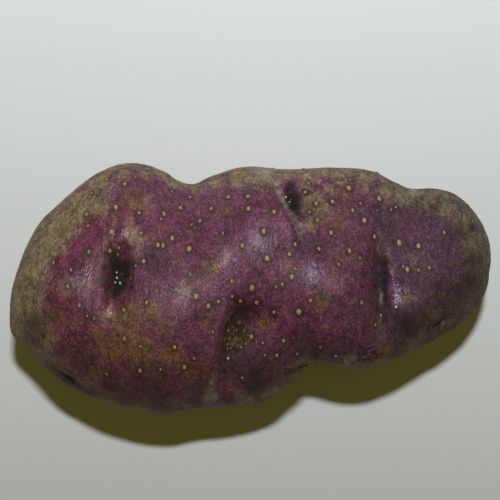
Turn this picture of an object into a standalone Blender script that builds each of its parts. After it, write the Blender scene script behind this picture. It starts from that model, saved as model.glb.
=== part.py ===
"""A long, knobbly, purple-skinned potato, lying on a small flat spot.

One solid. X runs from the stem end (-X) to the rose end (+X), Y runs across, and Z is up from the
surface that the potato lies on. The body is a sphere stretched over two outlines, one seen from
above and one seen from the side. Eyes, furrows, swellings and corky specks are then pressed into
it or raised out of it. Every number in the tables is in millimetres.
"""

import math
import random

import bmesh
import bpy
import numpy as np
from mathutils import Matrix, Vector, noise
from mathutils.bvhtree import BVHTree

MM = 0.001

# The size of the whole tuber; the outlines below were read at this size and scale with it.
LENGTH = 112.0
READ_LENGTH = 112.0
SCALE = LENGTH / READ_LENGTH

STEM_TIP = (-56.0, -6.6, 20.0)
ROSE_TIP = (56.0, 6.0, 17.5)

# Seen from above, from the stem end to the rose end: x, y of the far edge and of the near edge.
FAR_EDGE = [
    (-54.9, 1.8), (-49.5, 14.0), (-40.4, 23.3), (-32.0, 28.1), (-25.6, 28.6), (-20.4, 27.0),
    (-17.0, 24.6), (-13.2, 23.9), (-8.8, 26.0), (-1.5, 28.3), (8.3, 27.7), (19.0, 27.7), (27.5, 27.0),
    (32.6, 24.7), (37.0, 23.0), (43.4, 23.0), (48.6, 21.2), (52.9, 16.2), (55.3, 11.0),
]
NEAR_EDGE = [
    (-55.0, -11.0), (-50.6, -14.2), (-45.4, -20.0), (-40.6, -23.4), (-34.6, -25.5), (-27.0, -27.5),
    (-18.5, -28.7), (-11.0, -27.6), (-3.5, -27.2), (4.6, -25.3), (9.6, -21.2), (13.4, -17.4),
    (18.5, -17.9), (25.0, -18.6), (33.0, -16.5), (43.0, -11.5), (50.5, -6.6), (54.8, -0.5),
]

# Seen from the side, likewise: x, z of the crest and of the underside.
CREST = [
    (-54.7, 28.5), (-49.5, 37.0), (-41.0, 43.5), (-32.0, 46.6), (-22.0, 47.6), (-10.0, 46.6),
    (3.0, 46.4), (15.0, 44.6), (26.0, 41.6), (35.0, 39.2), (43.0, 37.0), (49.5, 32.0), (54.0, 25.0),
]
UNDERSIDE = [
    (-54.7, 12.5), (-49.5, 7.6), (-41.0, 3.6), (-30.0, 1.0), (-18.0, -0.4), (-6.0, -0.7),
    (5.0, -0.2), (16.0, 1.2), (28.0, 3.4), (39.0, 4.8), (48.0, 7.6), (54.0, 12.0),
]

# Where the crest and the lowest line run, seen from above: x and y. They wander from the middle.
CREST_LINE = [
    (-50.0, -4.5), (-39.0, -4.0), (-28.0, -4.5), (-16.0, -5.5), (-6.0, -1.5), (2.0, 3.5),
    (10.0, 2.0), (19.0, -2.5), (34.0, -3.5), (48.0, 3.0),
]
LOW_LINE = [(-46.0, -2.0), (-20.0, -1.0), (0.0, 2.0), (20.0, 6.5), (46.0, 7.0)]
CURVE_STEPS = 12
SECTION_STEPS = 201
WAIST = 0.47
TOP_ROUNDNESS = 2.0
LOW_ROUNDNESS = 2.1

# The grid of faces on the body, and where it is made twice as fine.
CELLS_ALONG = 36
CELLS_ACROSS = 16
FINE_REACH = 4.6

# Wide swellings between the eyes: x, y, side, radius, height.
SWELLINGS = [
    (-41.0, -1.0, "top", 8.0, 1.7),
    (-26.5, 12.5, "top", 5.0, 1.3),
    (-17.0, -3.0, "top", 9.0, 1.3),
    (-20.0, -18.0, "top", 10.0, 1.0),
    (-2.0, 11.0, "top", 10.0, 1.8),
    (2.0, -18.0, "top", 7.5, 1.6),
    (17.5, 2.0, "top", 9.0, 1.8),
    (24.0, 17.0, "top", 8.0, 0.9),
    (34.8, -3.0, "top", 6.5, 2.0),
    (-34.0, 10.0, "under", 12.0, 0.8),
    (20.0, -4.0, "under", 11.0, 1.0),
    (44.0, 8.0, "under", 8.0, 0.8),
]

# Each eye: the line of its furrow; the furrow's depth and the widths of its steep brow side and its
# gentle bud side; the height of the brow; the pit's place along the furrow, its shift towards the
# buds, length, width and depth; and the radius and depth of the wide hollow round all of it.
EYES = {
    "stem_lobe": {
        "side": "top",
        "line": [(-29.6, 15.0), (-30.2, 6.2), (-30.5, 2.3), (-30.7, -2.1), (-31.4, -9.5)],
        "furrow": (1.3, 1.2, 3.2), "brow": 0.1,
        "pit": (0.37, 1.7, 5.2, 2.3, 3.4), "hollow": (6.0, 0.5),
    },
    "near_waist": {
        "side": "top",
        "line": [(-2.0, 0.5), (-2.9, -5.4), (-4.4, -10.0), (-5.6, -16.5), (-6.6, -25.0)],
        "furrow": (2.9, 1.6, 5.6), "brow": 0.7,
        "pit": (0.41, 2.2, 5.0, 3.2, 1.3), "hollow": (8.5, 1.2),
    },
    "far_waist": {
        "side": "top",
        "line": [(4.8, 26.4), (7.3, 21.7), (8.8, 18.7), (11.0, 14.2), (12.4, 8.0)],
        "furrow": (1.6, 1.4, 3.4), "brow": 1.2,
        "pit": (0.27, 1.9, 3.6, 2.3, 3.0), "hollow": (7.5, 1.2),
    },
    "rose_lobe": {
        "side": "top",
        "line": [(27.6, 14.5), (28.8, 7.7), (29.3, 1.0), (29.0, -5.6), (28.0, -13.0)],
        "furrow": (2.2, 2.8, 1.2), "brow": 0.1,
        "pit": (0.4, 0.6, 2.6, 0.8, 0.8), "hollow": (7.0, 0.4),
    },
    "rose_tip": {
        "side": "top",
        "line": [(47.2, 18.0), (49.6, 13.8), (50.8, 9.0)],
        "furrow": (0.6, 1.2, 1.8), "brow": 0.4,
        "pit": (0.5, 0.5, 1.2, 0.9, 1.5), "hollow": (4.0, 0.6),
    },
    "rose_flank": {
        "side": "top",
        "line": [(40.0, -10.2), (42.8, -8.0), (46.8, -6.0)],
        "furrow": (0.3, 1.8, 2.2), "brow": 0.1,
        "pit": (0.5, 0.5, 1.4, 1.0, 0.7), "hollow": (4.0, 0.4),
    },
    "stem_flank": {
        "side": "top",
        "line": [(-47.0, -16.6), (-41.8, -20.7), (-36.0, -23.4)],
        "furrow": (0.3, 2.4, 2.6), "brow": 0.0,
        "pit": (0.5, 0.6, 2.6, 2.0, 0.4), "hollow": (6.0, 0.5),
    },
    "under_stem": {
        "side": "under",
        "line": [(-29.0, 19.0), (-31.0, 13.0), (-29.5, 6.5)],
        "furrow": (1.9, 1.6, 3.6), "brow": 0.7,
        "pit": (0.5, 1.6, 3.4, 1.8, 2.2), "hollow": (6.5, 0.8),
    },
    "under_near": {
        "side": "under",
        "line": [(13.0, -17.0), (15.5, -12.5), (16.0, -7.5)],
        "furrow": (2.2, 1.6, 3.6), "brow": 0.7,
        "pit": (0.45, 1.5, 3.2, 1.9, 2.2), "hollow": (7.0, 1.2),
    },
    "under_far": {
        "side": "under",
        "line": [(22.0, 22.5), (24.0, 18.0), (23.6, 13.0)],
        "furrow": (1.8, 1.5, 3.2), "brow": 0.6,
        "pit": (0.5, 1.4, 3.0, 1.7, 2.0), "hollow": (6.0, 0.9),
    },
    "under_rose": {
        "side": "under",
        "line": [(46.5, 10.5), (47.8, 5.0), (47.0, 0.5)],
        "furrow": (1.4, 1.4, 2.6), "brow": 0.5,
        "pit": (0.5, 1.1, 2.4, 1.4, 1.6), "hollow": (4.5, 0.6),
    },
}
EYE_RISE = 0.3

# The stolon's scar at the stem end: a shallow dimple with a low corky knob in it.
SCAR_PLACE = (-56.0, -4.0, 18.5)
SCAR_RADIUS = 3.4
SCAR_DEPTH = 1.5
KNOB_RADIUS = 1.3
KNOB_HEIGHT = 1.0

# Slow unevenness of the whole skin.
WAVE_LENGTH = 17.0
WAVE_HEIGHT = 0.55
WAVE_SHIFT = Vector((3.1, 7.7, 1.9))

# How the photograph sees the tuber: from straight above FOOT, and VIEW_HEIGHT over the floor. A pixel of
# its square frame covers PIXEL at the height of VIEW_PLANE, and VIEW_MIDDLE is its middle column and row.
FOOT = (-0.23, 8.8)
VIEW_HEIGHT = 420.0
VIEW_PLANE = 22.0
PIXEL = 0.2314
VIEW_MIDDLE = 250

# Lenticels, the corky specks that stand out of the skin. Those seen in the photograph are read from it
# by eye: column and row in its frame of 500 by 500 pixels, and radius in millimetres.
SEEN_LENTICELS = [
    (348.7, 188.4, 0.84), (379.0, 199.0, 0.76), (364.3, 220.6, 0.70), (399.0, 242.8, 0.80),
    (418.5, 246.3, 0.78), (298.8, 311.5, 0.86), (251.8, 287.7, 0.80), (196.0, 296.2, 0.80),
    (266.9, 258.4, 0.80), (263.6, 231.4, 0.70), (248.3, 209.0, 0.70), (189.3, 248.9, 0.74),
    (172.0, 238.3, 0.70), (163.8, 213.9, 0.68), (157.9, 245.0, 0.60), (139.1, 213.0, 0.56),
    (124.8, 184.3, 0.66), (115.8, 207.6, 0.70), (111.4, 232.0, 0.62), (109.8, 250.8, 0.60),
    (180.5, 208.2, 0.66), (190.0, 197.9, 0.60), (200.0, 221.2, 0.62), (211.2, 208.9, 0.66),
    (228.4, 197.4, 0.62), (248.0, 196.8, 0.68), (242.2, 246.0, 0.60), (208.3, 306.0, 0.64),
    (240.3, 300.9, 0.60), (256.7, 302.5, 0.64), (231.6, 281.3, 0.56), (331.0, 233.1, 0.66),
    (318.8, 249.0, 0.60), (349.3, 250.8, 0.62), (407.3, 269.6, 0.74), (140.2, 370.8, 0.66),
    (53.9, 262.9, 0.60), (332.4, 201.8, 0.60), (316.0, 203.6, 0.60), (291.8, 277.0, 0.66),
    (289.3, 254.4, 0.58), (251.4, 336.7, 0.60), (283.7, 340.6, 0.60), (274.0, 211.8, 0.56),
    (184.3, 367.0, 0.66), (91.5, 193.3, 0.50), (86.5, 214.5, 0.50), (88.9, 251.7, 0.50),
    (143.7, 261.4, 0.54), (130.9, 278.3, 0.50), (146.5, 302.4, 0.50), (124.4, 338.7, 0.54),
    (85.7, 338.0, 0.50), (174.5, 347.2, 0.56), (218.3, 301.4, 0.50), (282.2, 284.5, 0.50),
    (274.0, 312.0, 0.52), (229.0, 320.9, 0.50), (276.9, 355.1, 0.52), (305.1, 192.1, 0.54),
    (317.2, 220.3, 0.52), (352.6, 210.5, 0.50), (295.0, 244.3, 0.54), (374.3, 236.7, 0.56),
    (444.0, 232.6, 0.54), (429.1, 267.9, 0.54), (361.5, 302.5, 0.50), (310.5, 300.6, 0.52),
    (79.4, 305.0, 0.50), (67.9, 286.6, 0.52), (335.8, 356.0, 0.54),
]
HIDDEN_LENTICELS = 60
HIDDEN_BELOW = 21.0
LENTICEL_RADIUS = (0.50, 0.82)
LENTICEL_HEIGHT = 0.34
LENTICEL_ROOT = 0.55
LENTICEL_TOP_SHARE = 0.6
LENTICEL_SIDES = 5
LENTICEL_GAP = 5.0
FLAT_CLEARANCE = 1.6
SEED = 11

SKIN_COLOUR = (0.115, 0.035, 0.075, 1.0)
SKIN_ROUGHNESS = 0.55


def smooth_curve(points):
    """Points along a Catmull-Rom curve through the given ones, as an array."""
    given = np.array(points, float)
    ends = [2 * given[0] - given[1], 2 * given[-1] - given[-2]]
    knots = np.vstack([ends[0], given, ends[1]])
    t = np.linspace(0, 1, CURVE_STEPS, endpoint=False)[:, None]
    pieces = []
    for a, b, c, d in zip(knots, knots[1:], knots[2:], knots[3:]):
        pieces.append(
            0.5 * (2 * b + (c - a) * t + (2 * a - 5 * b + 4 * c - d) * t**2 + (3 * b - a - 3 * c + d) * t**3)
        )
    return np.vstack([*pieces, given[-1]])


def along_tuber(points, axis):
    """A function of x through the two tips and these points, where axis is 1 for y or 2 for z."""
    tips = [(tip[0], tip[axis]) for tip in (STEM_TIP, ROSE_TIP)]
    curve = smooth_curve([tips[0], *points, tips[1]])
    order = np.argsort(curve[:, 0], kind="stable")
    xs = curve[order, 0]
    values = curve[order, 1]
    return lambda x: np.interp(x, xs, values)


far_edge = along_tuber(FAR_EDGE, 1)
near_edge = along_tuber(NEAR_EDGE, 1)
crest_line = along_tuber(CREST_LINE, 1)
low_line = along_tuber(LOW_LINE, 1)
crest = along_tuber(CREST, 2)
underside = along_tuber(UNDERSIDE, 2)


def section(x, across, upward):
    """Points of the plain body at x, for the place across (-1 to 1) and upward (-1 to 1) in it."""
    far, near = far_edge(x), near_edge(x)
    top, low = crest(x), underside(x)
    middle = (far + near) / 2
    waist = low + WAIST * (top - low)
    lean = np.where(upward > 0, crest_line(x), low_line(x)) - middle
    y = middle + across * (far - near) / 2 + lean * upward**2
    z = waist + upward * np.where(upward > 0, top - waist, waist - low)
    return y, z


def body_point(directions):
    """Points of the plain body, in millimetres, for unit directions from its middle."""
    x = directions[:, 0] * STEM_TIP[0] * -1
    radius = np.maximum(np.hypot(directions[:, 1], directions[:, 2]), 1e-9)
    cosine = directions[:, 1] / radius
    sine = directions[:, 2] / radius
    power = 2 / np.where(sine > 0, TOP_ROUNDNESS, LOW_ROUNDNESS)
    across = np.sign(cosine) * abs(cosine) ** power
    upward = np.sign(sine) * abs(sine) ** power
    y, z = section(x, across, upward)
    return np.column_stack([x, y, z])


def on_body(x, y, side):
    """The point of the plain body above or below this place in plan, in millimetres."""
    roundness, sign = (TOP_ROUNDNESS, 1) if side == "top" else (LOW_ROUNDNESS, -1)
    across = np.linspace(-1, 1, SECTION_STEPS)
    upward = sign * (1 - abs(across) ** roundness) ** (1 / roundness)
    ys, zs = section(x, across, upward)
    return np.array([x, y, float(np.interp(y, ys, zs))])


def line_on_body(points, side):
    """A smooth line over the body through these places in plan."""
    return np.array([on_body(x, y, side) for x, y in smooth_curve(points)])


def nearest_on_line(points, line):
    """For each point: the vector from the nearest place of the line, the line's way there, and its share."""
    starts, ways = line[:-1], np.diff(line, axis=0)
    lengths = np.linalg.norm(ways, axis=1)
    along = np.concatenate([[0], np.cumsum(lengths)])
    best = np.full(len(points), np.inf)
    offset, way, share = np.zeros_like(points), np.zeros_like(points), np.zeros(len(points))
    for start, step, length, before in zip(starts, ways, lengths, along):
        t = np.clip((points - start) @ step / length**2, 0, 1)
        apart = points - start - t[:, None] * step
        distance = np.linalg.norm(apart, axis=1)
        closer = distance < best
        best[closer] = distance[closer]
        offset[closer] = apart[closer]
        way[closer] = step / length
        share[closer] = (before + t[closer] * length) / along[-1]
    return offset, way, share


def bell(value, width):
    """A smooth bump, 1 at zero and near nothing two widths away."""
    return np.exp(-((value / width) ** 2))


def eye_relief(points, normals, eye):
    """How far one eye pushes the skin in or out at each point."""
    line = line_on_body(eye["line"], eye["side"])
    offset, way, share = nearest_on_line(points, line)
    to_buds = np.cross(way, normals)
    to_buds *= np.sign(to_buds[:, 0])[:, None]
    side = np.einsum("ij,ij->i", offset, to_buds)
    beyond = np.linalg.norm(offset - side[:, None] * to_buds, axis=1)
    depth, steep, gentle = eye["furrow"]
    ends = np.clip(np.minimum(share, 1 - share) / EYE_RISE, 0, 1)
    taper = ends * ends * (3 - 2 * ends) * bell(beyond, steep + gentle)
    furrow = bell(side, np.where(side < 0, steep, gentle))
    brow = bell(side + 2.0 * steep, 1.1 * steep)
    place, shift, pit_length, pit_width, pit_depth = eye["pit"]
    apart = points - line[round(place * (len(line) - 1))]
    along_pit = np.einsum("ij,ij->i", apart, way)
    across_pit = np.einsum("ij,ij->i", apart, to_buds) - shift
    near_pit = bell(np.linalg.norm(apart, axis=1), 2.2 * pit_length)
    pit = np.exp(-(abs(along_pit / pit_length) ** 3) - abs(across_pit / pit_width) ** 3) * near_pit
    hollow_radius, hollow_depth = eye["hollow"]
    hollow = bell(np.linalg.norm(apart - shift * to_buds, axis=1), hollow_radius)
    return taper * (eye["brow"] * brow - depth * furrow) - pit_depth * pit - hollow_depth * hollow


def relief(points, normals):
    """How far the skin stands out of the plain body at each point, in millimetres."""
    height = np.zeros(len(points))
    for x, y, side, radius, rise in SWELLINGS:
        apart = np.linalg.norm(points - on_body(x, y, side), axis=1)
        height += rise * bell(apart, radius)
    for eye in EYES.values():
        height += eye_relief(points, normals, eye)
    from_scar = np.linalg.norm(points - np.array(SCAR_PLACE), axis=1)
    height += KNOB_HEIGHT * bell(from_scar, KNOB_RADIUS) - SCAR_DEPTH * bell(from_scar, SCAR_RADIUS)
    waves = [noise.noise(Vector(point) / WAVE_LENGTH + WAVE_SHIFT) for point in points]
    return height + WAVE_HEIGHT * np.array(waves)


def add_grid_sphere(bm):
    """A box cut into a grid and blown up to a unit sphere, with its long faces along X."""
    bmesh.ops.create_cube(bm, size=2.0)
    for axis, cells in ((0, CELLS_ALONG), (1, CELLS_ACROSS), (2, CELLS_ACROSS)):
        for cell in range(1, cells):
            plane = Vector((0, 0, 0))
            plane[axis] = 2 * cell / cells - 1
            normal = Vector((0, 0, 0))
            normal[axis] = 1
            everything = [*bm.verts, *bm.edges, *bm.faces]
            bmesh.ops.bisect_plane(bm, geom=everything, plane_co=plane, plane_no=normal)
    for vert in bm.verts:
        vert.co = Vector([math.tan(math.pi / 4 * value) for value in vert.co]).normalized()


def refine_near_eyes(bm):
    """Splits the faces round each eye, where the skin turns most sharply."""
    lines = [line_on_body(eye["line"], eye["side"]) for eye in EYES.values()]
    middles = np.array([((edge.verts[0].co + edge.verts[1].co) / 2).normalized() for edge in bm.edges])
    places = body_point(middles)
    near = np.zeros(len(places), bool)
    for line in lines:
        offset, _, _ = nearest_on_line(places, line)
        near |= np.linalg.norm(offset, axis=1) < FINE_REACH
    edges = [edge for edge, chosen in zip(bm.edges, near) if chosen]
    bmesh.ops.subdivide_edges(bm, edges=edges, cuts=1, use_grid_fill=True)
    for vert in bm.verts:
        vert.co.normalize()


def make_body():
    """The tuber as one closed mesh, before its lenticels and its flat spot."""
    bm = bmesh.new()
    add_grid_sphere(bm)
    refine_near_eyes(bm)
    bmesh.ops.triangulate(bm, faces=bm.faces)
    places = body_point(np.array([vert.co for vert in bm.verts]))
    for vert, place in zip(bm.verts, places):
        vert.co = place
    bm.normal_update()
    normals = np.array([vert.normal for vert in bm.verts])
    heights = relief(places, normals)
    for vert, height, normal in zip(bm.verts, heights, normals):
        vert.co = (vert.co + Vector(normal) * height) * SCALE * MM
    bmesh.ops.recalc_face_normals(bm, faces=bm.faces)
    mesh = bpy.data.meshes.new("potato")
    bm.to_mesh(mesh)
    bm.free()
    potato = bpy.data.objects.new("potato", mesh)
    tuber.objects.link(potato)
    return potato


def surface_tree(obj):
    """A search tree of the object's surface, in metres."""
    graph = bpy.context.evaluated_depsgraph_get()
    return BVHTree.FromObject(obj, graph)


def seen_spots(tree):
    """Place, outward way and radius of each lenticel that the photograph shows."""
    spots = []
    viewpoint = Vector((*FOOT, VIEW_HEIGHT)) * SCALE * MM
    for column, row, radius in SEEN_LENTICELS:
        across = (column - VIEW_MIDDLE) * PIXEL
        along = (VIEW_MIDDLE - row) * PIXEL
        place, normal, _, _ = tree.ray_cast(viewpoint, Vector((across, along, VIEW_PLANE - VIEW_HEIGHT)))
        if place is not None:
            spots.append((place, normal, radius))
    return spots


def hidden_spots(tree, taken):
    """Place, outward way and radius of lenticels on the sides and the underside, spread at random."""
    draw = random.Random(SEED)
    spots = []
    while len(spots) < HIDDEN_LENTICELS:
        x = draw.uniform(STEM_TIP[0], ROSE_TIP[0])
        angle = draw.uniform(0, math.tau)
        radius = draw.uniform(*LENTICEL_RADIUS)
        centre = Vector((x, float(far_edge(x) + near_edge(x)) / 2, HIDDEN_BELOW)) * SCALE * MM
        outside = centre + Vector((0, math.cos(angle), math.sin(angle))) * LENGTH * MM
        place, normal, _, _ = tree.ray_cast(outside, centre - outside)
        if place is None or place.z > HIDDEN_BELOW * SCALE * MM or place.z < FLAT_CLEARANCE * MM:
            continue
        crowded = any((place - other).length < LENTICEL_GAP * MM for other, _, _ in taken + spots)
        if not crowded:
            spots.append((place, normal, radius))
    return spots


def add_lenticel(place, normal, radius):
    """One corky speck: a low frustum of few sides with its root sunk in the skin."""
    bm = bmesh.new()
    turn = Vector((0, 0, 1)).rotation_difference(normal).to_matrix().to_4x4()
    depth = (LENTICEL_HEIGHT + LENTICEL_ROOT) * MM
    middle = (LENTICEL_HEIGHT - LENTICEL_ROOT) / 2 * MM
    bmesh.ops.create_cone(
        bm, cap_ends=True, segments=LENTICEL_SIDES,
        radius1=radius * MM, radius2=radius * LENTICEL_TOP_SHARE * MM, depth=depth,
        matrix=Matrix.Translation(place) @ turn @ Matrix.Translation((0, 0, middle)),
    )
    mesh = bpy.data.meshes.new("lenticel")
    bm.to_mesh(mesh)
    bm.free()
    specks.objects.link(bpy.data.objects.new("lenticel", mesh))


def apply_modifiers(obj):
    """Keeps what the modifiers make of the object's mesh, and removes them."""
    graph = bpy.context.evaluated_depsgraph_get()
    made = bpy.data.meshes.new_from_object(obj.evaluated_get(graph))
    obj.modifiers.clear()
    obj.data = made


def fuse_lenticels(potato):
    """Grows the lenticels out of the skin, so that tuber and specks are one solid."""
    union = potato.modifiers.new("lenticels", "BOOLEAN")
    union.operation = "UNION"
    union.operand_type = "COLLECTION"
    union.collection = specks
    union.solver = "EXACT"
    apply_modifiers(potato)
    for speck in list(specks.objects):
        bpy.data.objects.remove(speck)


def cut_flat_spot(potato):
    """Takes off the little that lies under Z = 0, which leaves the flat spot that the potato rests on."""
    bm = bmesh.new()
    bm.from_mesh(potato.data)
    everything = [*bm.verts, *bm.edges, *bm.faces]
    cut = bmesh.ops.bisect_plane(
        bm, geom=everything, plane_co=(0, 0, 0), plane_no=(0, 0, -1), clear_outer=True, dist=1e-7
    )
    rim = [item for item in cut["geom_cut"] if isinstance(item, bmesh.types.BMEdge)]
    bmesh.ops.contextual_create(bm, geom=rim)
    bmesh.ops.recalc_face_normals(bm, faces=bm.faces)
    bm.to_mesh(potato.data)
    bm.free()


def centre_over_origin(potato):
    """Slides the tuber along the floor until the middle of its box is over the origin."""
    xs, ys, _ = zip(*[vert.co for vert in potato.data.vertices])
    middle = Vector((min(xs) + max(xs), min(ys) + max(ys), 0)) / 2
    potato.data.transform(Matrix.Translation(-middle))


def skin_material():
    """The plain purple of the skin."""
    material = bpy.data.materials.new("purple_skin")
    material.use_nodes = True
    shader = material.node_tree.nodes["Principled BSDF"]
    shader.inputs["Base Color"].default_value = SKIN_COLOUR
    shader.inputs["Roughness"].default_value = SKIN_ROUGHNESS
    shader.inputs["Metallic"].default_value = 0.0
    return material


for old in list(bpy.data.objects):
    bpy.data.objects.remove(old)
tuber = bpy.data.collections.new("purple_potato")
specks = bpy.data.collections.new("lenticels_to_fuse")
specks.hide_render = True
for collection in (tuber, specks):
    bpy.context.scene.collection.children.link(collection)

potato = make_body()
skin = surface_tree(potato)
seen = seen_spots(skin)
for spot in seen + hidden_spots(skin, seen):
    add_lenticel(*spot)
fuse_lenticels(potato)
cut_flat_spot(potato)
centre_over_origin(potato)
potato.data.materials.clear()
potato.data.materials.append(skin_material())
potato.data.shade_smooth()
potato.data.set_sharp_from_angle(angle=math.radians(42))
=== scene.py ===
import math

import bpy
import numpy as np
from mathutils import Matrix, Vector, noise
from mathutils.bvhtree import BVHTree
from mathutils.kdtree import KDTree


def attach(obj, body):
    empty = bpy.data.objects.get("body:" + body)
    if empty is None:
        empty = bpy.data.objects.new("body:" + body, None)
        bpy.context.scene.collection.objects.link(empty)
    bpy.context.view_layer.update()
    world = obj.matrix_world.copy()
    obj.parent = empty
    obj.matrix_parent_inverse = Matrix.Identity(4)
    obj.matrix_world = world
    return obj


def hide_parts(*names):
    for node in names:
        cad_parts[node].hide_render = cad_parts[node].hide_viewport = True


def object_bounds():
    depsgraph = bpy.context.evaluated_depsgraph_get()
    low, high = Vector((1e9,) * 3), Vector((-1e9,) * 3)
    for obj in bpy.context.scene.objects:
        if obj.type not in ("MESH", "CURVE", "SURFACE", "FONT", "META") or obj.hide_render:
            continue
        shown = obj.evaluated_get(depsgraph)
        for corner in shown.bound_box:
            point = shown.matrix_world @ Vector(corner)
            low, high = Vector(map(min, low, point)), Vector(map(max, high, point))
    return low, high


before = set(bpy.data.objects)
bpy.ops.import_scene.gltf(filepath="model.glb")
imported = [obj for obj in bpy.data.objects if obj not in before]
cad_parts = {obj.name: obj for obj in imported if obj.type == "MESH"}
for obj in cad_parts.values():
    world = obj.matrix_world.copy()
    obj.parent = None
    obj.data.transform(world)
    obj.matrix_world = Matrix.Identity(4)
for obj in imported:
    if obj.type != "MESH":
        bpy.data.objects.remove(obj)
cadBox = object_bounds()
tuberLength = cadBox[1][0] - cadBox[0][0]
mm = 0.001


# a wrapped socket can be added, multiplied and so on, so node maths reads as maths
class Wire:
    def __init__(self, graph, socket):
        self.graph = graph
        self.socket = socket

    def maths(self, operation, *values):
        return self.graph.node("ShaderNodeMath", {"operation": operation}, dict(enumerate(values)))

    def clamp(self):
        return self.graph.node("ShaderNodeClamp", {}, {"Value": self})

    def step(self, low, high):  # 0 below low, 1 above high, smooth between
        return self.graph.node(
            "ShaderNodeMapRange", {"interpolation_type": "SMOOTHSTEP"},
            {"Value": self, "From Min": low, "From Max": high},
        )


# the method behind a sign of arithmetic; it is swapped when a number stands before the socket
def signMethod(operation, swapped):
    def method(self, other):
        return self.maths(operation, *((other, self) if swapped else (self, other)))
    return method


signs = {"add": "ADD", "sub": "SUBTRACT", "mul": "MULTIPLY", "truediv": "DIVIDE"}
for sign, operation in signs.items():
    setattr(Wire, f"__{sign}__", signMethod(operation, False))
    setattr(Wire, f"__r{sign}__", signMethod(operation, True))


class Graph:
    def __init__(self, tree):
        self.tree = tree

    def put(self, socket, value):
        if isinstance(value, Wire):
            self.tree.links.new(value.socket, socket)
        else:
            socket.default_value = value

    def node(self, kind, settings=None, sockets=None, output=0):
        node = self.tree.nodes.new(kind)
        for name, value in (settings or {}).items():
            if name == "stops":
                self.setStops(node.color_ramp, value)
            else:
                setattr(node, name, value)
        for name, value in (sockets or {}).items():
            self.put(node.inputs[name], value)
        return Wire(self, node.outputs[output])

    def sibling(self, wire, output):  # another output of the node that a wire comes from
        return Wire(self, wire.socket.node.outputs[output])

    def setStops(self, ramp, stops):
        while len(ramp.elements) < len(stops):
            ramp.elements.new(1.0)
        for element, (place, colour) in zip(ramp.elements, stops):
            element.position = place
            element.color = colour

    def mix(self, factor, first, second):
        return self.node(
            "ShaderNodeMix", {"data_type": "RGBA"}, {0: factor, 6: first, 7: second}, output=2
        )

    def vector(self, operation, *values):
        return self.node("ShaderNodeVectorMath", {"operation": operation}, dict(enumerate(values)))

    def noise(self, place, size, detail=2.0, roughness=0.5):  # size is that of a blotch, in metres
        return self.node(
            "ShaderNodeTexNoise", {},
            {"Vector": place, "Scale": 1 / size, "Detail": detail, "Roughness": roughness},
        )

    def attribute(self, name):
        return self.node("ShaderNodeAttribute", {"attribute_name": name}, output="Fac")

    def objectPlace(self):
        return self.node("ShaderNodeTexCoord", output="Object")

    def axis(self, vector, name):  # one of X, Y and Z of a vector
        return self.node("ShaderNodeSeparateXYZ", {}, {"Vector": vector}, output=name)

    def scaled(self, vector, factor):
        return self.node("ShaderNodeVectorMath", {"operation": "SCALE"}, {0: vector, "Scale": factor})

    def bump(self, height, depth):
        return self.node("ShaderNodeBump", {}, {"Height": height, "Distance": depth})


def srgb(red, green, blue):  # a colour as a paint program gives it, 0 to 255
    values = [v / 255 for v in (red, green, blue)]
    return tuple(v / 12.92 if v <= 0.04045 else ((v + 0.055) / 1.055) ** 2.4 for v in values) + (1.0,)


def newMaterial(name):
    material = bpy.data.materials.new(name)
    material.use_nodes = True
    graph = Graph(material.node_tree)
    return material, graph, material.node_tree.nodes["Principled BSDF"]


def newObject(name, mesh):
    obj = bpy.data.objects.new(name, mesh)
    bpy.context.scene.collection.objects.link(obj)
    return obj


def putAttribute(mesh, name, values, kind="FLOAT", field="value"):
    mesh.attributes.new(name, kind, "POINT").data.foreach_set(field, values)


# a geometry tree with named inputs; inputs is a list of (name, socket type)
def newTree(name, inputs):
    tree = bpy.data.node_groups.new(name, "GeometryNodeTree")
    tree.interface.new_socket("Geometry", in_out="INPUT", socket_type="NodeSocketGeometry")
    for label, kind in inputs:
        tree.interface.new_socket(label, in_out="INPUT", socket_type="NodeSocket" + kind)
    tree.interface.new_socket("Geometry", in_out="OUTPUT", socket_type="NodeSocketGeometry")
    graph = Graph(tree)
    entry = tree.nodes.new("NodeGroupInput")
    wires = {socket.name: Wire(graph, socket) for socket in entry.outputs if socket.name}
    return tree, graph, wires


def endTree(graph, geometry, material):
    solid = graph.node("GeometryNodeRealizeInstances", {}, {"Geometry": geometry})
    painted = graph.node("GeometryNodeSetMaterial", {}, {"Geometry": solid, "Material": material})
    exit = graph.tree.nodes.new("NodeGroupOutput")
    graph.put(exit.inputs["Geometry"], painted)


# runs a tree on an object with these input values, and keeps the plain mesh that comes out
def runTree(obj, tree, values):
    modifier = obj.modifiers.new(tree.name, "NODES")
    modifier.node_group = tree
    for item in tree.interface.items_tree:
        if item.in_out == "INPUT" and item.name in values:
            modifier[item.identifier] = values[item.name]
    shown = obj.evaluated_get(bpy.context.evaluated_depsgraph_get())
    made = bpy.data.meshes.new_from_object(shown)
    obj.modifiers.clear()
    obj.data = made
    made.name = obj.name
    made.shade_smooth()


# how the photograph sees the tuber, in millimetres: from over foot, and height above the floor; a pixel
# of its 500 by 500 frame covers pixel at the height of plane, and middle is its middle column and row
view = {
    "foot": (-0.23, 8.8),
    "height": 420.0,
    "plane": 22.0,
    "pixel": 0.2314,
    "middle": 250,
}


# the place and outward way of the skin that the photograph shows at a column and row
def seenPlace(surface, column, row, viewpoint, unit=1.0):
    across = (column - view["middle"]) * view["pixel"]
    along = (view["middle"] - row) * view["pixel"]
    way = Vector((across, along, view["plane"] - view["height"]))
    place, normal, _, _ = surface.ray_cast(viewpoint, way)
    if place is None:  # just past the outline: the skin nearest to the ray
        place, normal, _, _ = surface.find_nearest(viewpoint + way * unit)
    return place, normal


# the tuber's shape, by the same rule and the same numbers as the solid, in millimetres

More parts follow.
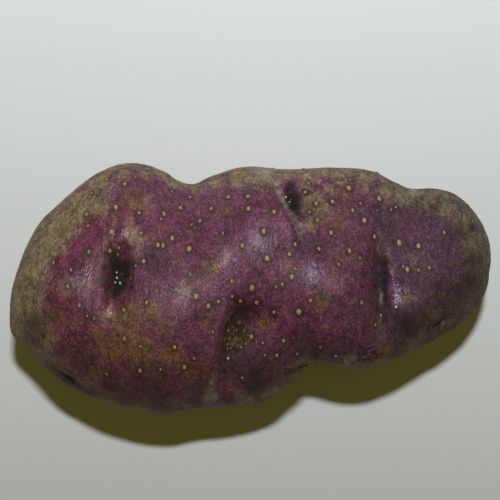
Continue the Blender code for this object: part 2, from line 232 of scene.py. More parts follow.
tuber = {
    "cellsAlong": 208,
    "cellsAcross": 92,
    "stemTip": (-56.0, -6.6, 20.0),
    "roseTip": (56.0, 6.0, 17.5),
    "farEdge": [
        (-54.9, 1.8), (-49.5, 14.0), (-40.4, 23.3), (-32.0, 28.1), (-25.6, 28.6), (-20.4, 27.0),
        (-17.0, 24.6), (-13.2, 23.9), (-8.8, 26.0), (-1.5, 28.3), (8.3, 27.7), (19.0, 27.7),
        (27.5, 27.0), (32.6, 24.7), (37.0, 23.0), (43.4, 23.0), (48.6, 21.2), (52.9, 16.2),
        (55.3, 11.0),
    ],
    "nearEdge": [
        (-55.0, -11.0), (-50.6, -14.2), (-45.4, -20.0), (-40.6, -23.4), (-34.6, -25.5),
        (-27.0, -27.5), (-18.5, -28.7), (-11.0, -27.6), (-3.5, -27.2), (4.6, -25.3), (9.6, -21.2),
        (13.4, -17.4), (18.5, -17.9), (25.0, -18.6), (33.0, -16.5), (43.0, -11.5), (50.5, -6.6),
        (54.8, -0.5),
    ],
    "crest": [
        (-54.7, 28.5), (-49.5, 37.0), (-41.0, 43.5), (-32.0, 46.6), (-22.0, 47.6), (-10.0, 46.6),
        (3.0, 46.4), (15.0, 44.6), (26.0, 41.6), (35.0, 39.2), (43.0, 37.0), (49.5, 32.0),
        (54.0, 25.0),
    ],
    "underside": [
        (-54.7, 12.5), (-49.5, 7.6), (-41.0, 3.6), (-30.0, 1.0), (-18.0, -0.4), (-6.0, -0.7),
        (5.0, -0.2), (16.0, 1.2), (28.0, 3.4), (39.0, 4.8), (48.0, 7.6), (54.0, 12.0),
    ],
    "crestLine": [
        (-50.0, -4.5), (-39.0, -4.0), (-28.0, -4.5), (-16.0, -5.5), (-6.0, -1.5), (2.0, 3.5),
        (10.0, 2.0), (19.0, -2.5), (34.0, -3.5), (48.0, 3.0),
    ],
    "lowLine": [(-46.0, -2.0), (-20.0, -1.0), (0.0, 2.0), (20.0, 6.5), (46.0, 7.0)],
    "curveSteps": 12,
    "sectionSteps": 201,
    "waist": 0.47,
    "topRoundness": 2.0,
    "lowRoundness": 2.1,
    # x, y, side, radius, height
    "swellings": [
        (-41.0, -1.0, "top", 8.0, 1.7), (-26.5, 12.5, "top", 5.0, 1.3),
        (-17.0, -3.0, "top", 9.0, 1.3), (-20.0, -18.0, "top", 10.0, 1.0),
        (-2.0, 11.0, "top", 10.0, 1.8), (2.0, -18.0, "top", 7.5, 1.6),
        (17.5, 2.0, "top", 9.0, 1.8), (24.0, 17.0, "top", 8.0, 0.9),
        (34.8, -3.0, "top", 6.5, 2.0), (-34.0, 10.0, "under", 12.0, 0.8),
        (20.0, -4.0, "under", 11.0, 1.0), (44.0, 8.0, "under", 8.0, 0.8),
    ],
    "scarPlace": (-56.0, -4.0, 18.5),
    "scarRadius": 3.4,
    "scarDepth": 1.5,
    "knobRadius": 1.3,
    "knobHeight": 1.0,
    "waveLength": 17.0,
    "waveHeight": 0.55,
    "waveShift": Vector((3.1, 7.7, 1.9)),
}

# each eye: side, the line of its furrow, the furrow's (depth, steep width, gentle width), the brow's
# height, the pit's (place, shift, length, width, depth), the hollow's (radius, depth), the number of
# buds in the pit, and how dark the pit and the furrow are
eyes = {
    "stemLobe": (
        "top", [(-29.6, 15.0), (-30.2, 6.2), (-30.5, 2.3), (-30.7, -2.1), (-31.4, -9.5)],
        (1.3, 1.2, 3.2), 0.1, (0.37, 1.7, 5.2, 2.3, 3.4), (6.0, 0.5), (2, 0.8, 0.5),
    ),
    "nearWaist": (
        "top", [(-2.0, 0.5), (-2.9, -5.4), (-4.4, -10.0), (-5.6, -16.5), (-6.6, -25.0)],
        (2.9, 1.6, 5.6), 0.7, (0.41, 2.2, 5.0, 3.2, 1.3), (8.5, 1.2), (1, 0.5, 0.7),
    ),
    "farWaist": (
        "top", [(4.8, 26.4), (7.3, 21.7), (8.8, 18.7), (11.0, 14.2), (12.4, 8.0)],
        (1.6, 1.4, 3.4), 1.2, (0.27, 1.9, 3.6, 2.3, 3.0), (7.5, 1.2), (1, 0.6, 0.5),
    ),
    "roseLobe": (
        "top", [(27.6, 14.5), (28.8, 7.7), (29.3, 1.0), (29.0, -5.6), (28.0, -13.0)],
        (2.2, 2.8, 1.2), 0.1, (0.4, 0.6, 2.6, 0.8, 0.8), (7.0, 0.4), (0, 0.5, 0.5),
    ),
    "roseTip": (
        "top", [(47.2, 18.0), (49.6, 13.8), (50.8, 9.0)],
        (0.6, 1.2, 1.8), 0.4, (0.5, 0.5, 1.2, 0.9, 1.5), (4.0, 0.6), (0, 1.0, 0.5),
    ),
    "roseFlank": (
        "top", [(40.0, -10.2), (42.8, -8.0), (46.8, -6.0)],
        (0.3, 1.8, 2.2), 0.1, (0.5, 0.5, 1.4, 1.0, 0.7), (4.0, 0.4), (0, 0.7, 0.3),
    ),
    "stemFlank": (
        "top", [(-47.0, -16.6), (-41.8, -20.7), (-36.0, -23.4)],
        (0.3, 2.4, 2.6), 0.0, (0.5, 0.6, 2.6, 2.0, 0.4), (6.0, 0.5), (0, 0.3, 0.2),
    ),
    "underStem": (
        "under", [(-29.0, 19.0), (-31.0, 13.0), (-29.5, 6.5)],
        (1.9, 1.6, 3.6), 0.7, (0.5, 1.6, 3.4, 1.8, 2.2), (6.5, 0.8), (2, 0.8, 0.6),
    ),
    "underNear": (
        "under", [(13.0, -17.0), (15.5, -12.5), (16.0, -7.5)],
        (2.2, 1.6, 3.6), 0.7, (0.45, 1.5, 3.2, 1.9, 2.2), (7.0, 1.2), (2, 0.8, 0.6),
    ),
    "underFar": (
        "under", [(22.0, 22.5), (24.0, 18.0), (23.6, 13.0)],
        (1.8, 1.5, 3.2), 0.6, (0.5, 1.4, 3.0, 1.7, 2.0), (6.0, 0.9), (2, 0.8, 0.6),
    ),
    "underRose": (
        "under", [(46.5, 10.5), (47.8, 5.0), (47.0, 0.5)],
        (1.4, 1.4, 2.6), 0.5, (0.5, 1.1, 2.4, 1.4, 1.6), (4.5, 0.6), (1, 0.8, 0.6),
    ),
}

# finer forms in each eye than the solid has
eyeDetail = {
    "rise": 0.3,          # share of a furrow's length over which it deepens
    "reach": 16.0,
    "browPlace": 2.0,     # these two and lipPlace are times the steep width
    "browWidth": 1.1,
    "lipPlace": 1.7,
    "pitReach": 2.2,      # times the pit's length
    "pitSquareness": 3,
    "creaseWidth": 0.55,
    "creaseDepth": 0.1,
    "lipWidth": 0.5,
    "lipHeight": 0.04,
    "rippleLength": 1.15,
    "rippleHeight": 0.05,
    "ripplePlace": 1.0,
    "rippleReach": 3.0,
    "budRadius": 0.95,
    "budHeight": 0.25,
    "budGap": 2.3,
}


def smoothCurve(points):
    given = np.array(points, float)
    knots = np.vstack([2 * given[0] - given[1], given, 2 * given[-1] - given[-2]])
    t = np.linspace(0, 1, tuber["curveSteps"], endpoint=False)[:, None]
    pieces = []
    for a, b, c, d in zip(knots, knots[1:], knots[2:], knots[3:]):
        square = (2 * a - 5 * b + 4 * c - d) * t**2
        pieces.append(0.5 * (2 * b + (c - a) * t + square + (3 * b - a - 3 * c + d) * t**3))
    return np.vstack([*pieces, given[-1]])


def alongTuber(name, axis):
    tips = [(tuber[tip][0], tuber[tip][axis]) for tip in ("stemTip", "roseTip")]
    curve = smoothCurve([tips[0], *tuber[name], tips[1]])
    order = np.argsort(curve[:, 0], kind="stable")
    return lambda x: np.interp(x, curve[order, 0], curve[order, 1])


farEdge = alongTuber("farEdge", 1)
nearEdge = alongTuber("nearEdge", 1)
crestLine = alongTuber("crestLine", 1)
lowLine = alongTuber("lowLine", 1)
crest = alongTuber("crest", 2)
underside = alongTuber("underside", 2)


def section(x, across, upward):
    far, near = farEdge(x), nearEdge(x)
    top, low = crest(x), underside(x)
    middle = (far + near) / 2
    waist = low + tuber["waist"] * (top - low)
    lean = np.where(upward > 0, crestLine(x), lowLine(x)) - middle
    y = middle + across * (far - near) / 2 + lean * upward**2
    z = waist + upward * np.where(upward > 0, top - waist, waist - low)
    return y, z


def bodyPoint(directions):
    x = directions[:, 0] * -tuber["stemTip"][0]
    radius = np.maximum(np.hypot(directions[:, 1], directions[:, 2]), 1e-9)
    cosine = directions[:, 1] / radius
    sine = directions[:, 2] / radius
    power = 2 / np.where(sine > 0, tuber["topRoundness"], tuber["lowRoundness"])
    across = np.sign(cosine) * abs(cosine) ** power
    upward = np.sign(sine) * abs(sine) ** power
    y, z = section(x, across, upward)
    return np.column_stack([x, y, z])


def onBody(x, y, side):  # the point of the plain body over or under a place in plan
    roundness, sign = (tuber["topRoundness"], 1) if side == "top" else (tuber["lowRoundness"], -1)
    across = np.linspace(-1, 1, tuber["sectionSteps"])
    upward = sign * (1 - abs(across) ** roundness) ** (1 / roundness)
    ys, zs = section(x, across, upward)
    return np.array([x, y, float(np.interp(y, ys, zs))])


def nearestOnLine(points, line):
    starts, ways = line[:-1], np.diff(line, axis=0)
    lengths = np.linalg.norm(ways, axis=1)
    along = np.concatenate([[0], np.cumsum(lengths)])
    best = np.full(len(points), np.inf)
    offset, way, share = np.zeros_like(points), np.zeros_like(points), np.zeros(len(points))
    for start, step, length, before in zip(starts, ways, lengths, along):
        t = np.clip((points - start) @ step / length**2, 0, 1)
        apart = points - start - t[:, None] * step
        distance = np.linalg.norm(apart, axis=1)
        closer = distance < best
        best[closer] = distance[closer]
        offset[closer] = apart[closer]
        way[closer] = step / length
        share[closer] = (before + t[closer] * length) / along[-1]
    return offset, way, share


def bell(value, width):
    return np.exp(-((value / width) ** 2))


def dot(first, second):
    return np.einsum("ij,ij->i", first, second)


# one eye: how far it pushes the skin in or out, and how dark its furrow and its pit are
def eyeForm(points, normals, eye):
    side, places, (depth, steep, gentle), browHeight, pitSizes, hollowSizes, (buds, black, sooty) = eye
    hollowRadius, hollowDepth = hollowSizes
    fine = eyeDetail
    line = np.array([onBody(x, y, side) for x, y in smoothCurve(places)])
    offset, way, share = nearestOnLine(points, line)
    toBuds = np.cross(way, normals)
    toBuds *= np.sign(toBuds[:, 0])[:, None]
    aside = dot(offset, toBuds)
    beyond = np.linalg.norm(offset - aside[:, None] * toBuds, axis=1)
    ends = np.clip(np.minimum(share, 1 - share) / fine["rise"], 0, 1)
    taper = ends * ends * (3 - 2 * ends) * bell(beyond, steep + gentle)
    furrow = taper * bell(aside, np.where(aside < 0, steep, gentle))
    brow = taper * bell(aside + fine["browPlace"] * steep, fine["browWidth"] * steep)
    place, shift, pitLength, pitWidth, pitDepth = pitSizes
    apart = points - line[round(place * (len(line) - 1))]
    alongPit = dot(apart, way)
    acrossPit = dot(apart, toBuds) - shift
    nearPit = bell(np.linalg.norm(apart, axis=1), fine["pitReach"] * pitLength)
    power = fine["pitSquareness"]
    pit = np.exp(-(abs(alongPit / pitLength) ** power) - abs(acrossPit / pitWidth) ** power) * nearPit
    hollow = bell(np.linalg.norm(apart - shift * toBuds, axis=1), hollowRadius)
    push = browHeight * brow - depth * furrow - pitDepth * pit - hollowDepth * hollow
    # the finer forms: a sharp crease, a thin lip on the brow, ripples beside both, and the buds
    crease = taper * bell(aside, fine["creaseWidth"])
    lip = taper * bell(aside + fine["lipPlace"] * steep, fine["lipWidth"])
    ripples = np.cos(math.tau * aside / fine["rippleLength"])
    ripples = ripples * bell(aside + fine["ripplePlace"], fine["rippleReach"])
    bud = np.zeros(len(points))
    for number in range(buds):
        away = (number - (buds - 1) / 2) * fine["budGap"]
        bud = np.maximum(bud, bell(np.hypot(alongPit - away, acrossPit), fine["budRadius"]) * nearPit)
    push += fine["lipHeight"] * lip - fine["creaseDepth"] * crease
    push += fine["rippleHeight"] * ripples * taper + fine["budHeight"] * bud
    return push, furrow * sooty, pit * black


def gridSphere(along, across):  # a box cut into a grid and blown up to a unit sphere
    cells = (along, across, across)
    blocks, quads, count = [], [], 0
    for axis, (u, v) in enumerate([(1, 2), (2, 0), (0, 1)]):
        for side in (-1, 1):
            us, vs = (np.linspace(-1, 1, cells[i] + 1) for i in (u, v))
            gridU, gridV = np.meshgrid(us, vs, indexing="ij")
            block = np.empty((gridU.size, 3))
            block[:, axis], block[:, u], block[:, v] = side, gridU.ravel(), gridV.ravel()
            ids = np.arange(gridU.size).reshape(gridU.shape) + count
            quad = np.stack([ids[:-1, :-1], ids[1:, :-1], ids[1:, 1:], ids[:-1, 1:]], -1).reshape(-1, 4)
            quads.append(quad if side > 0 else quad[:, ::-1])
            blocks.append(block)
            count += len(block)
    points, same = np.unique(np.round(np.vstack(blocks), 9), axis=0, return_inverse=True)
    warped = np.tan(math.pi / 4 * points)
    return warped / np.linalg.norm(warped, axis=1)[:, None], same.ravel()[np.vstack(quads)]


# what lies where on the skin, read from the photograph: column, row, radius in pixels, strength
patches = {
    "russet": [  # rough olive-brown skin
        (325, 171, 8, 0.8), (345, 171, 8, 0.8), (362, 176, 8, 0.7), (300, 170, 7, 0.7),
        (16, 300, 20, 1), (16, 330, 14, 1), (28, 275, 22, 1), (30, 300, 17, 1), (34, 325, 18, 0.9),
        (46, 340, 14, 0.6), (38, 255, 18, 1), (52, 238, 18, 1), (64, 222, 18, 1), (80, 206, 18, 1),
        (96, 203, 14, 0.9), (104, 206, 9, 0.8), (100, 182, 14, 0.8), (122, 174, 10, 0.7),
        (147, 174, 9, 0.6), (195, 188, 7, 0.6), (215, 180, 10, 0.8), (240, 177, 12, 0.9),
        (264, 178, 14, 1), (280, 172, 10, 0.8), (310, 174, 12, 0.8), (340, 175, 12, 0.8),
        (365, 180, 11, 0.8), (386, 190, 10, 0.8), (404, 196, 12, 1), (425, 198, 15, 1),
        (447, 208, 12, 0.9), (464, 222, 13, 0.9), (476, 245, 17, 1), (483, 270, 17, 1),
        (478, 295, 18, 1), (463, 312, 16, 1), (446, 328, 15, 1), (428, 338, 13, 1), (408, 347, 11, 1),
        (385, 353, 9, 0.9), (350, 359, 8, 0.8), (320, 360, 8, 0.7), (298, 364, 8, 0.6),
        (160, 263, 6, 0.35), (315, 205, 15, 0.8), (330, 190, 10, 0.5), (306, 186, 9, 0.6),
        (312, 224, 9, 0.6), (208, 265, 8, 0.5), (228, 212, 7, 0.35), (380, 300, 7, 0.4),
        (379, 325, 8, 0.4),
    ],
    "tan": [  # golden-brown patches
        (130, 322, 17, 0.95), (150, 312, 12, 0.8), (115, 345, 15, 0.95), (140, 350, 14, 0.9),
        (165, 330, 12, 0.6), (165, 355, 12, 0.6), (100, 335, 11, 0.6), (182, 290, 8, 0.6),
        (135, 235, 9, 0.9), (137, 200, 13, 0.75), (227, 212, 9, 0.5), (210, 267, 10, 0.65),
        (295, 265, 6, 0.5), (318, 215, 7, 0.4), (312, 225, 8, 0.4), (325, 298, 12, 0.6),
        (340, 225, 12, 0.35), (345, 205, 10, 0.35), (338, 262, 8, 0.45), (382, 258, 5, 0.6),
        (377, 325, 6, 0.6), (378, 300, 6, 0.5), (410, 258, 7, 0.5), (427, 265, 7, 0.55),
        (450, 263, 6, 0.5), (408, 295, 7, 0.6), (400, 332, 6, 0.6), (427, 313, 7, 0.6),
        (442, 294, 6, 0.5), (455, 300, 6, 0.4), (207, 322, 7, 0.9), (175, 350, 8, 0.8),
        (186, 367, 10, 0.9), (265, 325, 12, 0.45), (285, 340, 8, 0.35), (252, 375, 8, 0.4),
        (340, 190, 14, 0.35), (270, 212, 8, 0.3), (65, 290, 9, 0.4), (55, 315, 12, 0.5),
        (75, 345, 11, 0.5), (230, 300, 5, 0.4), (260, 395, 14, 0.5), (232, 390, 6, 0.4),
        (90, 372, 14, 0.5), (115, 318, 12, 0.7), (160, 372, 14, 0.5), (85, 355, 14, 0.4),
        (200, 365, 12, 0.4), (161, 228, 4, 0.5), (248, 203, 4, 0.5), (114, 220, 4, 0.5),
    ],
    "violet": [  # bluer skin, and painted sheen on the crowns of the swellings where the highlights fall
        (262, 235, 20, 0.9), (228, 255, 12, 0.6), (183, 300, 12, 0.6), (313, 272, 14, 0.8),
        (340, 285, 14, 0.4), (394, 288, 10, 0.9), (76, 277, 13, 0.8), (415, 235, 14, 0.3),
        (440, 232, 12, 0.5), (458, 220, 10, 0.5), (190, 320, 12, 0.4), (385, 212, 10, 0.3),
        (120, 238, 5, 0.8), (430, 225, 14, 0.4), (360, 270, 12, 0.4),
    ],
    "magenta": [  # the purest purple
        (352, 305, 20, 1), (350, 325, 14, 0.9), (360, 230, 16, 0.7), (300, 295, 14, 0.5),
        (190, 250, 20, 0.6), (160, 230, 10, 0.8), (150, 262, 18, 1.2), (150, 285, 12, 0.9),
        (95, 265, 14, 0.6), (92, 300, 12, 0.9), (185, 215, 14, 0.6), (60, 275, 12, 0.5),
        (200, 335, 12, 0.6), (142, 335, 8, 0.7), (250, 355, 12, 0.9), (262, 365, 12, 0.6),
        (240, 275, 16, 0.6), (270, 260, 14, 0.5), (125, 205, 10, 0.4), (418, 250, 12, 0.7),
        (440, 270, 10, 0.5), (330, 240, 14, 0.4), (395, 305, 9, 0.7), (345, 222, 10, 0.4),
        (75, 320, 12, 0.5),
    ],
    "dark": [  # painted shade in the hollows, along the lower rims and on the near flank, with darker skin in a few places
        (245, 310, 10, 0.9), (240, 325, 9, 0.8), (228, 345, 6, 0.8), (226, 330, 5, 0.6),
        (245, 375, 16, 0.8), (235, 365, 8, 0.7), (280, 355, 12, 0.6), (300, 350, 12, 0.5),
        (320, 348, 12, 0.45), (293, 200, 9, 1), (297, 215, 6, 1), (290, 187, 6, 0.7),
        (305, 212, 9, 0.5), (383, 262, 7, 0.9), (384, 285, 6, 0.8), (380, 310, 7, 0.7),
        (395, 315, 9, 0.8), (405, 325, 15, 1), (425, 305, 10, 0.5), (415, 205, 10, 0.5),
        (430, 215, 10, 0.45), (470, 285, 18, 0.8), (455, 290, 16, 0.7), (440, 300, 18, 0.7),
        (460, 265, 14, 0.5), (425, 318, 14, 0.7), (475, 260, 14, 0.6), (35, 325, 16, 0.8),
        (70, 378, 10, 0.8), (80, 388, 10, 0.5), (110, 385, 14, 0.6), (140, 390, 14, 0.6),
        (170, 392, 14, 0.5), (195, 385, 12, 0.5), (60, 350, 10, 0.4), (50, 340, 10, 0.3),
        (108, 275, 5, 0.6), (108, 290, 4, 0.5), (345, 340, 16, 0.5), (370, 335, 14, 0.5),
        (215, 350, 10, 0.3), (290, 325, 14, 0.25), (365, 345, 12, 0.5), (335, 330, 10, 0.3),
        (150, 385, 34, 0.65), (85, 360, 22, 0.55), (205, 365, 22, 0.4), (255, 372, 26, 0.85),
        (350, 345, 24, 0.5), (362, 312, 20, 0.5), (440, 332, 9, 0.5), (103, 252, 4, 0.4),
        (103, 268, 4, 0.5), (104, 284, 4, 0.4), (229, 303, 5, 0.4), (224, 317, 4, 0.4),
        (222, 330, 4, 0.4), (474, 245, 10, 0.45), (412, 275, 12, 0.4), (300, 260, 10, 0.3),
        (300, 345, 20, 0.4), (410, 325, 22, 0.7), (450, 315, 20, 0.6), (430, 240, 22, 0.3),
        (440, 265, 22, 0.4), (370, 300, 22, 0.3), (152, 262, 18, 0.65), (140, 285, 14, 0.4),
        (300, 258, 10, 0.4), (222, 240, 12, 0.2), (30, 352, 14, 0.5), (55, 372, 14, 0.6),
        (90, 392, 14, 0.6), (125, 398, 14, 0.6), (160, 402, 14, 0.6), (195, 400, 14, 0.6),
        (385, 230, 16, 0.5), (450, 240, 24, 0.45), (430, 282, 24, 0.4), (345, 250, 16, 0.3),
        (355, 205, 14, 0.35), (405, 250, 14, 0.3), (190, 220, 12, 0.3), (275, 300, 14, 0.3),
        (180, 330, 12, 0.25), (230, 225, 10, 0.2), (230, 400, 12, 0.5), (262, 396, 12, 0.6),
        (285, 382, 10, 0.6), (310, 362, 10, 0.4), (345, 362, 10, 0.3), (395, 352, 12, 0.5),
        (430, 342, 12, 0.6), (455, 325, 12, 0.6), (478, 300, 12, 0.6), (488, 270, 10, 0.5),
        (250, 310, 12, 0.7), (200, 270, 10, 0.3), (172, 262, 10, 0.4), (345, 235, 14, 0.35),
        (310, 250, 10, 0.4),
    ],
    "pale": [  # paler, brownish pink skin, with painted highlight on some crowns and on the far rim
        (66, 286, 10, 0.8), (133, 236, 10, 1), (129, 222, 8, 0.6), (136, 250, 7, 0.7),
        (86, 288, 14, 0.4), (184, 290, 11, 0.4), (262, 172, 14, 1), (248, 176, 9, 0.4),
        (108, 190, 10, 0.5), (125, 178, 9, 0.5), (145, 203, 12, 0.5), (226, 258, 12, 0.5),
        (262, 240, 12, 0.3), (332, 285, 16, 0.4), (145, 322, 10, 0.3), (70, 290, 10, 0.4),
        (415, 262, 8, 0.4), (450, 262, 7, 0.3), (110, 312, 6, 0.7), (215, 285, 9, 0.3),
    ],
    "umber": [  # dark olive-brown skin
        (378, 225, 7, 0.4), (377, 242, 8, 0.7), (377, 258, 9, 0.9), (378, 275, 9, 0.9),
        (379, 292, 8, 0.8), (379, 308, 8, 0.7), (380, 324, 9, 0.6), (383, 338, 10, 0.5),
        (107, 256, 5, 0.7), (106, 268, 5, 0.8), (107, 280, 5, 0.8), (108, 292, 5, 0.7),
        (300, 348, 12, 0.6), (315, 352, 12, 0.7), (330, 352, 12, 0.6), (213, 390, 8, 0.7),
        (350, 352, 12, 0.5), (405, 320, 12, 0.6), (420, 312, 12, 0.5), (400, 340, 12, 0.6),
        (430, 325, 12, 0.7), (460, 300, 14, 0.7), (472, 280, 14, 0.7), (476, 262, 12, 0.6),
        (462, 228, 10, 0.5), (400, 215, 9, 0.4), (415, 208, 9, 0.4), (245, 322, 8, 0.5),
        (243, 308, 7, 0.4), (60, 352, 12, 0.4), (92, 348, 10, 0.3), (190, 345, 10, 0.4),
        (178, 372, 12, 0.3), (220, 325, 5, 0.5), (221, 345, 5, 0.5), (282, 368, 8, 0.5),
        (300, 218, 8, 0.5), (310, 190, 8, 0.4), (345, 330, 9, 0.3), (238, 332, 9, 0.8),
        (236, 345, 8, 0.8), (246, 336, 7, 0.7), (291, 192, 8, 0.8), (295, 207, 8, 0.8),
        (306, 202, 8, 0.5), (316, 206, 14, 0.5), (35, 340, 12, 0.4), (120, 385, 16, 0.4),
        (205, 385, 14, 0.4), (250, 390, 12, 0.5), (218, 300, 6, 0.3), (345, 345, 12, 0.3),
    ],
    "black": [  # the darkest places in the eyes
        (113, 236, 2, 0.5), (113, 244, 3, 0.6), (114, 252, 4, 0.7), (115, 260, 6, 0.9),
        (117, 268, 7, 1), (119, 276, 8, 1), (119, 284, 7, 1), (117, 291, 5, 0.9), (114, 297, 3, 0.6),
        (124, 266, 6, 0.8), (125, 275, 6, 0.8), (240, 330, 8, 0.45), (237, 341, 7, 0.45),
        (246, 318, 6, 0.4), (104, 262, 2, 0.4), (104, 275, 2, 0.4), (287, 190, 4, 0.7),
        (290, 185, 6, 0.6), (296, 197, 7, 0.6), (301, 206, 5, 0.4), (291, 199, 5, 1), (294, 207, 5, 1),
        (297, 214, 4, 0.7), (385, 264, 3, 0.8), (385, 273, 3, 0.9), (384, 282, 4, 0.8),
        (385, 290, 4, 0.9), (386, 298, 4, 0.9), (386, 305, 3, 0.7), (226, 350, 4, 0.9),
        (226, 360, 3, 0.9), (224, 370, 3, 0.7), (223, 380, 3, 0.6), (232, 318, 5, 0.5),
        (240, 312, 6, 0.4), (472, 228, 4, 0.9), (470, 222, 3, 0.6), (438, 325, 4, 0.4),
        (72, 380, 7, 0.35), (80, 386, 6, 0.3), (237, 322, 6, 0.45), (233, 312, 4, 0.3),
        (228, 335, 3, 0.6), (227, 342, 3, 0.7), (381, 250, 5, 0.35), (381, 262, 6, 0.5),
        (382, 275, 6, 0.5), (383, 288, 5, 0.45), (383, 300, 5, 0.4), (383, 312, 4, 0.3),
        (405, 326, 8, 0.25), (106, 255, 3, 0.5), (106, 266, 3, 0.5), (107, 286, 3, 0.5),
    ],
    "film": [  # grey weathered skin on the brows, and painted rim light and sheen along the rims
        (262, 174, 12, 0.8), (340, 174, 8, 0.4), (270, 178, 6, 0.7), (276, 182, 5, 0.9),
        (277, 188, 4, 0.9), (279, 193, 4, 0.9), (282, 199, 4, 0.9), (286, 206, 4, 0.9),
        (290, 212, 4, 0.9), (295, 218, 4, 0.8), (300, 225, 4, 0.6), (303, 232, 4, 0.5),
        (217, 366, 4, 0.4), (215, 375, 4, 0.7), (213, 383, 5, 0.9), (211, 391, 6, 1), (210, 398, 8, 1),
        (465, 218, 7, 0.35), (475, 245, 8, 0.3), (437, 312, 6, 0.25), (20, 350, 8, 0.8),
        (30, 358, 8, 0.8), (40, 368, 8, 0.8), (52, 380, 8, 0.6), (415, 193, 9, 0.7), (320, 365, 8, 0.7),
        (345, 364, 8, 0.7), (270, 395, 7, 0.6), (285, 385, 6, 0.7), (205, 186, 7, 0.6),
        (240, 400, 7, 0.6), (430, 345, 7, 0.5), (460, 325, 7, 0.5), (222, 404, 4, 1), (250, 401, 4, 1),
        (264, 397, 4, 1), (276, 391, 4, 1), (285, 383, 4, 1), (291, 376, 3, 0.9), (312, 367, 4, 0.9),
        (325, 368, 4, 1), (340, 368, 4, 1), (355, 367, 4, 0.9), (375, 363, 4, 0.6), (205, 405, 4, 1),
        (190, 407, 4, 0.6), (22, 342, 4, 0.8), (34, 352, 4, 0.7),
    ],
    "crumbs": [  # olive soil
        (233, 330, 5, 0.8), (231, 340, 6, 1), (238, 345, 7, 1), (246, 341, 6, 1), (250, 334, 4, 1),
        (242, 331, 5, 0.8), (228, 351, 4, 0.7), (248, 326, 3, 0.6), (205, 345, 4, 0.4),
    ],
    "rust": [  # orange-brown cork crumbs and scabs
        (287, 370, 4, 1), (294, 369, 4, 1), (301, 366, 3, 0.8), (435, 206, 3, 1), (436, 210, 2, 0.8),
        (366, 357, 4, 0.5), (374, 355, 7, 0.55), (382, 353, 4, 0.5), (371, 351, 4, 0.4),
        (87, 338, 3, 0.5), (73, 345, 4, 0.5), (453, 301, 3, 0.7), (303, 190, 3, 0.5),
    ],
    "gloss": [  # where the wax shines
        (82, 273, 13, 1.1), (121, 236, 7, 2.2), (183, 292, 12, 0.5), (262, 240, 19, 0.55),
        (228, 255, 14, 0.6), (315, 271, 14, 0.8), (340, 285, 14, 0.4), (390, 289, 12, 2.8),
        (109, 312, 6, 1), (120, 278, 9, 0.8),
    ],
}
patchEdge = 1.1  # the patches' radii, times this, for their soft edges
patchDepth = 11.0  # how far down the flank a patch at the outline reaches

# finer forms than the solid has, in millimetres
fineForms = {
    "waves": [(6.0, 0.16, 11.0), (2.6, 0.07, 23.0)],  # length, height and shift
    "pitWaves": (1.5, 0.9, 5.0),
    "pitFrom": 0.05,            # how dark a pit is where its waves begin
    "scabPlace": (372, 354),  # column and row
    "scabReach": 2.6,
    "scabRings": 1.25,
    "scabHeight": 0.16,
    "warts": [  # column, row, radius, height
        (309, 183, 0.9, 0.35), (299, 188, 0.8, 0.4), (315, 203.5, 0.8, 0.4), (317.5, 213, 1.1, 0.45),
        (122, 228, 0.9, 0.2), (122, 235, 0.9, 0.25), (122, 242, 0.9, 0.25), (123, 249, 0.9, 0.2),
        (108, 306, 0.6, 0.2), (111, 311, 0.6, 0.2), (107, 316, 0.6, 0.2), (112, 319, 0.6, 0.2),
        (311, 225, 0.8, 0.3), (435, 207, 0.8, 0.3), (210, 267, 1.6, 0.15), (371, 354, 2.4, 0.2),
    ],
}


def noiseOf(points, length, shift):
    return np.array([noise.noise(Vector(point) / length + shift) for point in points])


def vertexNormals(points, quads):
    mesh = bpy.data.meshes.new("measure")
    mesh.from_pydata(points.tolist(), [], quads.tolist())
    mesh.update()
    normals = np.empty(len(points) * 3)
    mesh.vertex_normals.foreach_get("vector", normals)
    bpy.data.meshes.remove(mesh)
    return normals.reshape(-1, 3)


